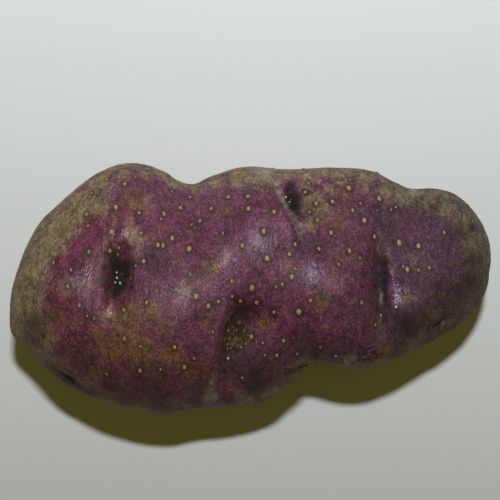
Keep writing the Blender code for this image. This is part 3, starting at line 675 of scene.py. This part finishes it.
def makeTuber():
    directions, quads = gridSphere(tuber["cellsAlong"], tuber["cellsAcross"])
    points = bodyPoint(directions)
    normals = vertexNormals(points, quads)
    push = np.zeros(len(points))
    for x, y, side, radius, rise in tuber["swellings"]:
        push += rise * bell(np.linalg.norm(points - onBody(x, y, side), axis=1), radius)
    marks = {name: np.zeros(len(points)) for name in ("furrowDark", "pitDark")}
    for eye in eyes.values():
        middle = onBody(*eye[1][len(eye[1]) // 2], eye[0])
        reach = eyeDetail["reach"] + np.ptp(eye[1], axis=0).max() / 2
        near = np.linalg.norm(points - middle, axis=1) < reach
        form = eyeForm(points[near], normals[near], eye)
        push[near] += form[0]
        for name, amount in zip(marks, form[1:]):
            marks[name][near] = np.maximum(marks[name][near], amount)
    fromScar = np.linalg.norm(points - np.array(tuber["scarPlace"]), axis=1)
    push += tuber["knobHeight"] * bell(fromScar, tuber["knobRadius"])
    push -= tuber["scarDepth"] * bell(fromScar, tuber["scarRadius"])
    push += tuber["waveHeight"] * noiseOf(points, tuber["waveLength"], tuber["waveShift"])
    for length, height, shift in fineForms["waves"]:
        push += height * noiseOf(points, length, Vector((shift, 0, 0)))
    length, height, shift = fineForms["pitWaves"]
    inPit = marks["pitDark"] > fineForms["pitFrom"]
    waves = noiseOf(points[inPit], length, Vector((shift, 0, 0)))
    push[inPit] += height * marks["pitDark"][inPit] * waves
    marks["scar"] = bell(fromScar, tuber["scarRadius"])
    points = points + normals * push[:, None]

    # what the photograph shows, laid on the skin from where it was taken
    surface = BVHTree.FromPolygons(points.tolist(), quads.tolist())
    viewpoint = Vector((*view["foot"], view["height"]))
    for name, rows in patches.items():
        marks[name] = np.zeros(len(points))
        for column, row, radius, strength in rows:
            place, _ = seenPlace(surface, column, row, viewpoint)
            nearness = (view["height"] - place.z) / (view["height"] - view["plane"])
            width = radius * view["pixel"] * nearness
            way = np.array((place - viewpoint).normalized())
            apart = points - place
            deeper = apart @ way
            beside = np.linalg.norm(apart - deeper[:, None] * way, axis=1)
            spread = bell(beside, width * patchEdge) * bell(deeper, patchDepth)
            marks[name] = np.maximum(marks[name], strength * spread)
    rise = np.zeros(len(points))
    for column, row, radius, height in fineForms["warts"]:
        place, _ = seenPlace(surface, column, row, viewpoint)
        rise += height * bell(np.linalg.norm(points - place, axis=1), radius)
    place, _ = seenPlace(surface, *fineForms["scabPlace"], viewpoint)
    away = np.linalg.norm(points - place, axis=1)
    rings = np.cos(math.tau * away / fineForms["scabRings"]) * bell(away, fineForms["scabReach"])
    rise += fineForms["scabHeight"] * rings
    points = points + vertexNormals(points, quads) * rise[:, None]

    points[:, 2] = np.maximum(points[:, 2], 0)
    home = (np.array(cadBox[0]) + np.array(cadBox[1])) / 2 / mm - (points.min(0) + points.max(0)) / 2
    home[2] = 0
    mesh = bpy.data.meshes.new("skin")
    mesh.from_pydata(((points + home) * mm).tolist(), [], quads.tolist())
    for name, amount in marks.items():
        putAttribute(mesh, name, amount)
    mesh.update()
    return newObject("skin", mesh), home


# materials

skinLook = {
    "crimson": srgb(106, 33, 58),
    "magenta": srgb(102, 34, 70),
    "plum": srgb(66, 32, 60),
    "vivid": srgb(102, 30, 72),
    "brown": srgb(82, 56, 34),
    "darkGrain": srgb(42, 22, 20),
    "paleGrain": srgb(148, 104, 120),
    # pale lilac for bluer skin and for the painted sheen on the crowns
    "violet": srgb(126, 94, 132),
    "brownGrain": srgb(104, 66, 40),
    "violetGrain": srgb(97, 36, 95),
    "olive": srgb(147, 129, 92),
    "oliveDark": srgb(110, 93, 63),
    "greyOlive": srgb(118, 106, 84),
    "greyOliveDark": srgb(74, 66, 48),
    "golden": srgb(118, 80, 38),
    "goldenDark": srgb(86, 55, 27),
    # pale pink-tan, partly painted highlight
    "pale": srgb(158, 124, 106),
    "umber": srgb(62, 50, 34),
    # painted shade, laid by the dark layer
    "paintedShade": srgb(34, 22, 20),
    "soot": srgb(38, 30, 20),
    # grey of the weathered film, also used for the painted rim light
    "greyFilmAndRimLight": srgb(142, 136, 122),
    "pitBlack": srgb(12, 9, 7),
    "soil": srgb(56, 44, 20),
    "rust": srgb(88, 60, 34),
    "haloBrown": srgb(52, 30, 20),
    "grainSize": 0.00036,
    "tintSize": 0.0006,
    "fleckSize": 0.0009,
    "streakSize": 0.0014,
    "blotchSize": 0.0045,
    "cloudSize": 0.013,
    "grainStretch": (1.0, 0.65, 0.65),
    "streakStretch": (1.0, 0.5, 0.5),
    "bumpDepth": 0.00016,
    # for each kind of patch: how ragged its edge is, and the strengths at which it starts and is full
    "edges": {
        "magenta": (0.5, 0.15, 0.95), "violet": (0.5, 0.2, 1.0), "tan": (0.6, 0.08, 0.7),
        "russet": (0.7, 0.15, 0.8), "pale": (0.5, 0.1, 1.0), "umber": (0.5, 0.1, 0.9),
        "dark": (0.3, 0.0, 1.0), "film": (0.7, 0.1, 1.0), "furrowDark": (0.5, 0.35, 1.0),
        "crumbs": (0.6, 0.15, 0.6), "rust": (0.9, 0.3, 0.7), "halo": (0.6, 0.15, 0.9),
        "gloss": (0.3, 0.1, 0.9),
    },
    # what lies over the skin's colours, in this order, with its strength and colour: dark is painted
    # shade, pale is partly painted highlight, and film is partly painted rim light
    "layers": {
        "pale": (0.6, "pale"), "umber": (0.75, "umber"), "dark": (0.8, "paintedShade"), "film": (0.7, "greyFilmAndRimLight"),
        "furrowDark": (0.7, "soot"), "crumbs": (0.7, "soil"), "rust": (0.85, "rust"),
    },
}


def skinMaterial():
    look = skinLook
    material, graph, shader = newMaterial("purpleSkin")
    place = graph.objectPlace()
    along = graph.axis(place, "X") / tuberLength
    up = graph.axis(graph.node("ShaderNodeNewGeometry", output="Normal"), "Z")
    stretched = graph.vector("MULTIPLY", place, look["grainStretch"])
    grain = graph.noise(stretched, look["grainSize"], 3, 0.65)
    fleck = graph.noise(stretched, look["fleckSize"], 2, 0.6)
    streaked = graph.vector("MULTIPLY", place, look["streakStretch"])
    streak = graph.noise(streaked, look["streakSize"], 3, 0.6)
    blotch = graph.noise(place, look["blotchSize"], 4, 0.6)
    cloud = graph.noise(place, look["cloudSize"], 3, 0.55)
    ragged = blotch - 0.5 + (fleck - 0.5) * 0.4 + (streak - 0.5) * 0.25 + (grain - 0.5) * 0.2
    mottle = grain * 0.7 + fleck * 0.15 + streak * 0.15
    worn = {  # how much of each kind of patch is here
        name: (graph.attribute(name) + ragged * raggedness).step(low, high)
        for name, (raggedness, low, high) in look["edges"].items()
    }

    # the purple skin: crimson at the stem end and plum at the other, purest in places, bluer with a
    # painted sheen on the crowns
    hue = along + (cloud - 0.5) * 1.2 + ragged * 0.2
    purple = graph.mix(hue.step(-0.38, -0.02), look["crimson"], look["magenta"])
    purple = graph.mix(hue.step(0.1, 0.35), purple, look["plum"])
    purple = graph.mix(worn["magenta"] * 0.75, purple, look["vivid"])
    purple = graph.mix((0.5 - cloud + ragged * 0.9).step(0.0, 0.27) * 0.62, purple, look["brown"])
    tint = graph.noise(place, look["tintSize"], 2, 0.6)
    purple = graph.mix((0.48 - tint).step(0.0, 0.1) * 0.4, purple, look["brownGrain"])
    purple = graph.mix((tint - 0.52).step(0.0, 0.09) * 0.55, purple, look["violetGrain"])
    # bluer skin, and a painted pale sheen on the crowns where the highlights fall
    purple = graph.mix(worn["violet"] * 0.5, purple, look["violet"])
    purple = graph.mix((0.49 - mottle).step(0.0, 0.11) * 0.62, purple, look["darkGrain"])
    purple = graph.mix((mottle - 0.51).step(0.0, 0.13) * 0.38, purple, look["paleGrain"])

    # golden patches, and olive skin at the ends and where the tuber faces sideways
    golden = graph.mix(mottle.step(0.4, 0.6), look["goldenDark"], look["golden"])
    colour = graph.mix(worn["tan"] * 0.92, purple, golden)
    level = up.maths("MAXIMUM", up, up * -0.35)
    below = (up * -3.0).clamp()
    uneven = (ragged + (cloud - 0.5) * (1 + below * 1.4)) * (0.5 + below * 1.5)
    sideways = (0.48 + along * along * 1.3 - level + uneven).step(0.0, 0.35)
    russet = sideways.maths("MAXIMUM", worn["russet"], sideways * 0.85)
    olive = graph.mix(mottle.step(0.35, 0.65), look["oliveDark"], look["olive"])
    greyOlive = graph.mix(mottle.step(0.35, 0.65), look["greyOliveDark"], look["greyOlive"])
    olive = graph.mix(along.step(0.15, 0.38), olive, greyOlive)
    colour = graph.mix(russet * 0.92, colour, olive)

    # the layers over it, painted shade and painted rim light among them, then the black pits and a dark
    # ring round each speck
    for name, (most, shade) in look["layers"].items():
        colour = graph.mix(worn[name] * most, colour, look[shade])
    inPit = graph.attribute("pitDark") * 0.5 + graph.attribute("black") + graph.attribute("scar") * 0.6
    pit = (inPit + ragged * 0.8 + (streak - 0.5) * 0.6).step(0.25, 0.95)
    colour = graph.mix(pit * 0.93, colour, look["pitBlack"])
    colour = graph.mix(worn["halo"] * 0.65, colour, look["haloBrown"])
    tone = 0.97 + (grain - 0.5) * 2.3 + (fleck - 0.5) * 1.0
    tone = tone + (streak - 0.5) * 1.6 + (blotch - 0.5) * 1.7
    toned = graph.scaled(colour, tone.maths("MAXIMUM", tone, 0.35))
    graph.put(shader.inputs["Base Color"], toned)

    matte = russet * 0.2 + worn["film"] * 0.1 + pit * 0.6 + worn["umber"] * 0.25
    matte = matte + worn["furrowDark"] * 0.2 + worn["dark"] * 0.25
    roughness = 0.6 + matte - worn["gloss"] * 0.34 + (0.5 - grain) * 0.6
    graph.put(shader.inputs["Roughness"], roughness.clamp())
    height = grain * 0.7 + fleck * 0.9 + blotch * 0.8
    graph.put(shader.inputs["Normal"], graph.bump(height, look["bumpDepth"]))
    shader.inputs["Specular IOR Level"].default_value = 0.6
    return material


corkLook = {
    "pale": srgb(196, 164, 120),
    "dull": srgb(86, 60, 40),
    "foot": srgb(74, 48, 28),
    "shadow": srgb(96, 68, 40),
    "grainSize": 0.00035,
    "bumpDepth": 0.00006,
}


def corkMaterial():
    material, graph, shader = newMaterial("cork")
    place = graph.objectPlace()
    grain = graph.noise(place, corkLook["grainSize"], 2)
    colour = graph.mix(graph.attribute("tone"), corkLook["dull"], corkLook["pale"])
    colour = graph.mix((0.5 - grain).step(0.0, 0.2) * 0.5, colour, corkLook["shadow"])
    crown = (graph.attribute("crown") + (grain - 0.5) * 0.8).step(0.25, 0.95)
    colour = graph.mix(crown, corkLook["foot"], colour)
    graph.put(shader.inputs["Base Color"], colour)
    graph.put(shader.inputs["Normal"], graph.bump(grain, corkLook["bumpDepth"]))
    shader.inputs["Roughness"].default_value = 0.7
    return material


crumbLook = {
    "pale": srgb(126, 100, 50),
    "dark": srgb(36, 28, 14),
    "rustPale": srgb(120, 84, 50),
    "rustDark": srgb(66, 40, 22),
    "grainSize": 0.0004,
}


def crumbMaterial():
    material, graph, shader = newMaterial("soilCrumb")
    place = graph.objectPlace()
    grain = graph.noise(place, crumbLook["grainSize"], 2)
    tone = (graph.attribute("tone") * 0.8 + (grain - 0.5) * 1.2 - 0.05).clamp()
    soil = graph.mix(tone, crumbLook["dark"], crumbLook["pale"])
    rust = graph.mix(tone, crumbLook["rustDark"], crumbLook["rustPale"])
    colour = graph.mix(graph.attribute("rust").step(0.1, 0.4), soil, rust)
    graph.put(shader.inputs["Base Color"], colour)
    shader.inputs["Roughness"].default_value = 0.85
    return material


# near white: painted glints on the buds
budGlintLook = {"dull": srgb(190, 180, 170), "pale": srgb(240, 236, 230), "grainSize": 0.0003}


def budGlintMaterial():
    material, graph, shader = newMaterial("budTip")
    place = graph.objectPlace()
    grain = graph.noise(place, budGlintLook["grainSize"], 2)
    colour = graph.mix(grain, budGlintLook["dull"], budGlintLook["pale"])
    graph.put(shader.inputs["Base Color"], colour)
    shader.inputs["Roughness"].default_value = 0.25
    return material


# corky specks: those of the photograph as column, row and radius in millimetres, others strewn
specks = {
    "placed": [
        (348.7, 188.4, 0.84), (379.0, 199.0, 0.76), (364.3, 220.6, 0.70), (399.0, 242.8, 0.80),
        (418.5, 246.3, 0.78), (298.8, 311.5, 0.86), (251.8, 287.7, 0.80), (196.0, 296.2, 0.80),
        (266.9, 258.4, 0.80), (263.6, 231.4, 0.70), (248.3, 209.0, 0.70), (189.3, 248.9, 0.74),
        (172.0, 238.3, 0.70), (163.8, 213.9, 0.68), (157.9, 245.0, 0.60), (139.1, 213.0, 0.56),
        (124.8, 184.3, 0.66), (115.8, 207.6, 0.70), (111.4, 232.0, 0.62), (109.8, 250.8, 0.60),
        (180.5, 208.2, 0.66), (190.0, 197.9, 0.60), (200.0, 221.2, 0.62), (211.2, 208.9, 0.66),
        (228.4, 197.4, 0.62), (248.0, 196.8, 0.68), (242.2, 246.0, 0.60), (208.3, 306.0, 0.64),
        (240.3, 300.9, 0.60), (256.7, 302.5, 0.64), (231.6, 281.3, 0.56), (331.0, 233.1, 0.66),
        (318.8, 249.0, 0.60), (349.3, 250.8, 0.62), (407.3, 269.6, 0.74), (140.2, 370.8, 0.66),
        (53.9, 262.9, 0.60), (332.4, 201.8, 0.60), (316.0, 203.6, 0.60), (291.8, 277.0, 0.66),
        (289.3, 254.4, 0.58), (251.4, 336.7, 0.60), (283.7, 340.6, 0.60), (274.0, 211.8, 0.56),
        (184.3, 367.0, 0.66), (91.5, 193.3, 0.50), (86.5, 214.5, 0.50), (88.9, 251.7, 0.50),
        (143.7, 261.4, 0.54), (130.9, 278.3, 0.50), (146.5, 302.4, 0.50), (124.4, 338.7, 0.54),
        (85.7, 338.0, 0.50), (174.5, 347.2, 0.56), (218.3, 301.4, 0.50), (282.2, 284.5, 0.50),
        (274.0, 312.0, 0.52), (229.0, 320.9, 0.50), (276.9, 355.1, 0.52), (305.1, 192.1, 0.54),
        (317.2, 220.3, 0.52), (352.6, 210.5, 0.50), (295.0, 244.3, 0.54), (374.3, 236.7, 0.56),
        (444.0, 232.6, 0.54), (429.1, 267.9, 0.54), (361.5, 302.5, 0.50), (310.5, 300.6, 0.52),
        (79.4, 305.0, 0.50), (67.9, 286.6, 0.52), (335.8, 356.0, 0.54), (162.9, 245.7, 0.60),
        (396.3, 306.8, 0.34), (418.7, 270.0, 0.44), (71.0, 270.0, 0.46), (107.0, 179.8, 0.46),
    ],
    "small": [
        (135.2, 177.4), (90, 197), (171.8, 191.4), (141.2, 233.1), (118.1, 254.3), (135.6, 266),
        (191.9, 224.7), (190.3, 274.2), (88, 225.8), (156.7, 290.9), (170.3, 293.6), (140.4, 346.4),
        (87.3, 315.8), (94.2, 318.9), (194, 358.3), (232.2, 296.3), (275.8, 286.6), (228.2, 330.5),
        (245.5, 328), (212.7, 331.8), (248.5, 341.6), (241.2, 347.3), (262.6, 342.9), (264.6, 355),
        (242.4, 377.9), (308.5, 183.2), (339.9, 179), (350.3, 180), (360.3, 203.6), (309.7, 212.4),
        (295, 228.7), (255.3, 249.5), (359.7, 258), (338.6, 264.2), (295.5, 268.7), (402.9, 266.5),
        (395.6, 207.2), (391, 209.9), (375.5, 324.8), (380.9, 315.4), (320.2, 347.1), (297, 353.8),
        (223, 233.3), (160.4, 369.6), (106.8, 374.1), (161, 219.3), (434, 206), (147, 302), (124, 310),
    ],
    "smallRadius": 0.3,
    "girth": 0.8,  # the body of a speck next to its radius in the table
    "haloReach": 0.8,
    "seenAbove": 23.5,  # height in millimetres over which the photograph shows the skin
    "seenFade": 3.0,
    "clearOfFloor": 1.2,
    "spacing": 3.4,
    "density": 20000.0,  # at most so many to a square metre
    "radius": (0.24, 0.52),
    "tall": 0.5,  # its height next to its girth
    "longest": 1.5,  # how much longer than wide the longest are
    "uneven": 0.3,
    "seed": 4,
    "facets": (8, 6),
}

fineSizes = {
    "spacing": 2.5,
    "density": 130000.0,
    "radius": (0.1, 0.2),
    "tall": 0.5,
    "longest": 1.5,
    "uneven": 0.08,
    "seed": 4,
    "facets": (5, 4),
}

crumbs = {
    "spacing": 0.26,
    "density": 7000000.0,
    "radius": (0.14, 0.5),
    "tall": 0.7,
    "longest": 1.4,
    "uneven": 0.55,
    "seed": 9,
    "facets": (5, 4),
    "stickFrom": 0.25,  # strength of a crumb patch at which soil begins to stick
    "stickOver": 0.6,
    "inPits": 0.03,
}

# bud tips painted near white as glints, as column, row and radius in millimetres, with none strewn
budTips = {
    "placed": [
        (116.7, 272.5, 0.2), (117, 278, 0.24), (115.3, 282.5, 0.2), (120, 283, 0.24),
        (118.7, 248, 0.16), (286, 197, 0.2), (289.5, 202, 0.17), (228, 358.5, 0.26),
        (396, 307, 0.26),
    ],
    "spacing": 1000.0,
    "density": 0.0,
    "radius": (0.1, 0.2),
    "tall": 0.8,
    "longest": 1.3,
    "uneven": 0.05,
    "seed": 1,
    "facets": (8, 6),
}

# for every kind of lump
lengthSeed = 3
toneSeed = 7
lumpFineness = 1300.0  # of the noise that makes a lump uneven, to a metre


# a tree that strews points over a skin, joins the placed ones to them and grows a lump on each
def lumpTree(name, material, facets):
    tree, graph, given = newTree(name, [
        ("Placed", "Object"), ("Spacing", "Float"), ("Density", "Float"), ("Smallest", "Float"),
        ("Largest", "Float"), ("Tall", "Float"), ("Longest", "Float"), ("Uneven", "Float"),
        ("Seed", "Int"),
    ])

    def read(kind, label):
        return graph.node("GeometryNodeInputNamedAttribute", {"data_type": kind}, {"Name": label})

    def store(kind, domain, geometry, label, value):
        return graph.node(
            "GeometryNodeStoreNamedAttribute", {"data_type": kind, "domain": domain},
            {"Geometry": geometry, "Name": label, "Value": value},
        )

    def chance(low, high, seed):
        return graph.node("FunctionNodeRandomValue", {"data_type": "FLOAT"}, {
            "Min": low, "Max": high, "Seed": seed}, output=1)

    strewn = graph.node(
        "GeometryNodeDistributePointsOnFaces", {"distribute_method": "POISSON"},
        {"Mesh": given["Geometry"], "Distance Min": given["Spacing"], "Seed": given["Seed"],
         "Density Max": given["Density"], "Density Factor": read("FLOAT", "strew")},
    )
    outward = graph.sibling(strewn, "Normal")
    strewn = store("FLOAT_VECTOR", "POINT", strewn, "outward", outward)
    girth = chance(given["Smallest"], given["Largest"], given["Seed"])
    strewn = store("FLOAT", "POINT", strewn, "girth", girth)
    placed = graph.node("GeometryNodeObjectInfo", {}, {"Object": given["Placed"]}, output="Geometry")
    placed = graph.node("GeometryNodeMeshToPoints", {}, {"Mesh": placed})
    joined = graph.tree.nodes.new("GeometryNodeJoinGeometry")
    for geometry in (strewn, placed):
        graph.tree.links.new(geometry.socket, joined.inputs[0])
    lump = graph.node("GeometryNodeMeshUVSphere", {}, {
        "Segments": facets[0], "Rings": facets[1], "Radius": 1.0})
    place = graph.node("GeometryNodeInputPosition")
    lump = store("FLOAT", "POINT", lump, "crown", graph.axis(place, "Z"))
    turn = graph.node("FunctionNodeAlignRotationToVector", {"axis": "Z"}, {
        "Vector": read("FLOAT_VECTOR", "outward")})
    size = read("FLOAT", "girth")
    length = size * chance(1.0, given["Longest"], lengthSeed)
    scale = graph.node("ShaderNodeCombineXYZ", {}, {
        "X": size, "Y": length, "Z": size * given["Tall"]})
    grown = graph.node("GeometryNodeInstanceOnPoints", {}, {
        "Points": Wire(graph, joined.outputs[0]), "Instance": lump, "Rotation": turn, "Scale": scale})
    grown = store("FLOAT", "INSTANCE", grown, "tone", chance(0.0, 1.0, toneSeed))
    grown = graph.node("GeometryNodeRealizeInstances", {}, {"Geometry": grown})
    shove = graph.node("ShaderNodeTexNoise", {}, {
        "Vector": place, "Scale": lumpFineness}, output="Color")
    shove = graph.scaled(graph.vector("SUBTRACT", shove, (0.5, 0.5, 0.5)), given["Uneven"])
    grown = graph.node("GeometryNodeSetPosition", {}, {"Geometry": grown, "Offset": shove})
    endTree(graph, grown, material)
    return tree


# lone points on the skin with their outward way and girth, for a lump tree to grow on
def seedPoints(name, surface, rows, viewpoint):
    places, ways, girths = [], [], []
    for column, row, girth in rows:
        place, normal = seenPlace(surface, column, row, viewpoint, mm)
        places.append(place)
        ways.append(normal)
        girths.append(girth * mm)
    mesh = bpy.data.meshes.new(name)
    mesh.from_pydata(places, [], [])
    putAttribute(mesh, "outward", np.array(ways).ravel(), "FLOAT_VECTOR", "vector")
    putAttribute(mesh, "girth", girths)
    return newObject(name, mesh)


def readAttribute(mesh, name):
    values = np.empty(len(mesh.vertices))
    mesh.attributes[name].data.foreach_get("value", values)
    return values


def pointsOf(mesh):
    values = np.empty(len(mesh.vertices) * 3)
    mesh.vertices.foreach_get("co", values)
    return values.reshape(-1, 3)


def growLumps(name, skin, strew, seeds, material, size):
    obj = newObject(name, skin.data.copy())
    putAttribute(obj.data, "strew", strew)
    runTree(obj, lumpTree(name, material, size["facets"]), {
        "Placed": seeds, "Spacing": size["spacing"] * mm, "Density": size["density"],
        "Smallest": size["radius"][0] * mm, "Largest": size["radius"][1] * mm,
        "Tall": size["tall"], "Longest": size["longest"], "Uneven": size["uneven"] * mm,
        "Seed": size["seed"],
    })
    print(name, "grown:", len(obj.data.polygons), "faces")
    return obj


skin, home = makeTuber()
print("tuber shaped:", len(skin.data.polygons), "faces, moved by", home.round(3), "mm")

skinTree, graph, given = newTree("skinRelief", [
    ("Dent Size", "Float"), ("Dent Height", "Float"), ("Grain Size", "Float"),
    ("Grain Height", "Float"), ("Floor Fade", "Float")])
place = graph.node("GeometryNodeInputPosition")
outward = graph.node("GeometryNodeInputNormal")
dents = graph.node("ShaderNodeTexNoise", {}, {"Vector": place, "Scale": 1 / given["Dent Size"]})
grains = graph.node("ShaderNodeTexNoise", {}, {"Vector": place, "Scale": 1 / given["Grain Size"]})
height = (dents - 0.5) * given["Dent Height"] + (grains - 0.5) * given["Grain Height"]
height = height * (graph.axis(place, "Z") / given["Floor Fade"]).clamp()
raised = graph.node("GeometryNodeSetPosition", {}, {
    "Geometry": given["Geometry"], "Offset": graph.scaled(outward, height)})
endTree(graph, raised, skinMaterial())
runTree(skin, skinTree, {
    "Dent Size": 0.0018, "Dent Height": 0.00018, "Grain Size": 0.001, "Grain Height": 0.0001,
    "Floor Fade": 0.002})
print("skin relief made")

surface = BVHTree.FromObject(skin, bpy.context.evaluated_depsgraph_get())
viewpoint = Vector((view["foot"][0] + home[0], view["foot"][1] + home[1], view["height"])) * mm
rows = [(column, row, radius * specks["girth"]) for column, row, radius in specks["placed"]]
rows += [(column, row, specks["smallRadius"]) for column, row in specks["small"]]
placedSpecks = seedPoints("placedSpecks", surface, rows, viewpoint)
noSeeds = newObject("noSeeds", bpy.data.meshes.new("noSeeds"))
tipSeeds = seedPoints("tipSeeds", surface, budTips["placed"], viewpoint)

# specks are strewn where the photograph doesn't show the skin, and away from the floor
heights = pointsOf(skin.data)[:, 2] / mm
offFloor = heights > specks["clearOfFloor"]
hidden = np.clip((specks["seenAbove"] - heights) / specks["seenFade"], 0, 1) * offFloor
lenticels = growLumps("lenticels", skin, hidden, placedSpecks, corkMaterial(), specks)
fineSpecks = growLumps("fineSpecks", skin, offFloor * 1.0, noSeeds, corkMaterial(), fineSizes)

speckTree = KDTree(len(lenticels.data.vertices))
for index, vertex in enumerate(lenticels.data.vertices):
    speckTree.insert(vertex.co, index)
speckTree.balance()
nearest = np.array([speckTree.find(vertex.co)[2] for vertex in skin.data.vertices])
halo = bell(nearest / mm, specks["haloReach"])
putAttribute(skin.data, "halo", halo)

stick = readAttribute(skin.data, "crumbs") + readAttribute(skin.data, "rust")
stick = np.clip((stick - crumbs["stickFrom"]) / crumbs["stickOver"], 0, 1)
stick += crumbs["inPits"] * readAttribute(skin.data, "pitDark")
soil = growLumps("crumbs", skin, stick, noSeeds, crumbMaterial(), crumbs)
# the bud lumps, painted near white as glints
tips = growLumps("budTips", skin, np.zeros(len(heights)), tipSeeds, budGlintMaterial(), budTips)

for helper in (placedSpecks, noSeeds, tipSeeds):
    bpy.data.objects.remove(helper)

for piece in (skin, lenticels, fineSpecks, soil, tips):
    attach(piece, "root")
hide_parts("potato")


# floor, light and camera

stage = {
    "floorColour": srgb(222, 226, 224),
    "floorSize": 1.2,
    "lightPlace": (0.01, 0.185, 0.6),
    "lightAim": (0.01, 1.0, 0),  # far behind the tuber: the light falls off towards the near side
    "lightSize": (0.052, 0.09),
    "lightPower": 8.2,
    "lightColour": (0.92, 0.94, 1.0),
    "roomColour": (1.0, 0.86, 0.17),
    "roomStrength": 0.1,
    "frameWidth": 500,  # pixels
    "sensor": 36,
    "floorRoughness": 0.9,
}

half = stage["floorSize"] / 2
floorMesh = bpy.data.meshes.new("floor")
floorMesh.from_pydata([(-half, -half, 0), (half, -half, 0), (half, half, 0), (-half, half, 0)], [],
                      [(0, 1, 2, 3)])
floor = newObject("floor", floorMesh)
floorMaterial, graph, shader = newMaterial("paleFloor")
shader.inputs["Base Color"].default_value = stage["floorColour"]
shader.inputs["Roughness"].default_value = stage["floorRoughness"]
floorMesh.materials.append(floorMaterial)

lamp = bpy.data.lights.new("softKey", "AREA")
lamp.shape = "ELLIPSE"
lamp.size, lamp.size_y = stage["lightSize"]
lamp.energy = stage["lightPower"]
lamp.color = stage["lightColour"]
lampObject = newObject("softKey", lamp)
lampObject.location = stage["lightPlace"]
lampWay = Vector(stage["lightAim"]) - lampObject.location
lampObject.rotation_euler = lampWay.to_track_quat("-Z", "Y").to_euler()

world = bpy.data.worlds.new("room")
bpy.context.scene.world = world
world.use_nodes = True
background = world.node_tree.nodes["Background"]
background.inputs["Color"].default_value = (*stage["roomColour"], 1.0)
background.inputs["Strength"].default_value = stage["roomStrength"]
bpy.context.scene.view_settings.view_transform = "Standard"

camera = bpy.data.cameras.new("camera")
cameraObject = newObject("camera", camera)
camera.sensor_width = stage["sensor"]
camera.lens = stage["sensor"] * (view["height"] - view["plane"]) / (view["pixel"] * stage["frameWidth"])
cameraObject.location = viewpoint
bpy.context.scene.camera = cameraObject
print("floor, light and camera set")
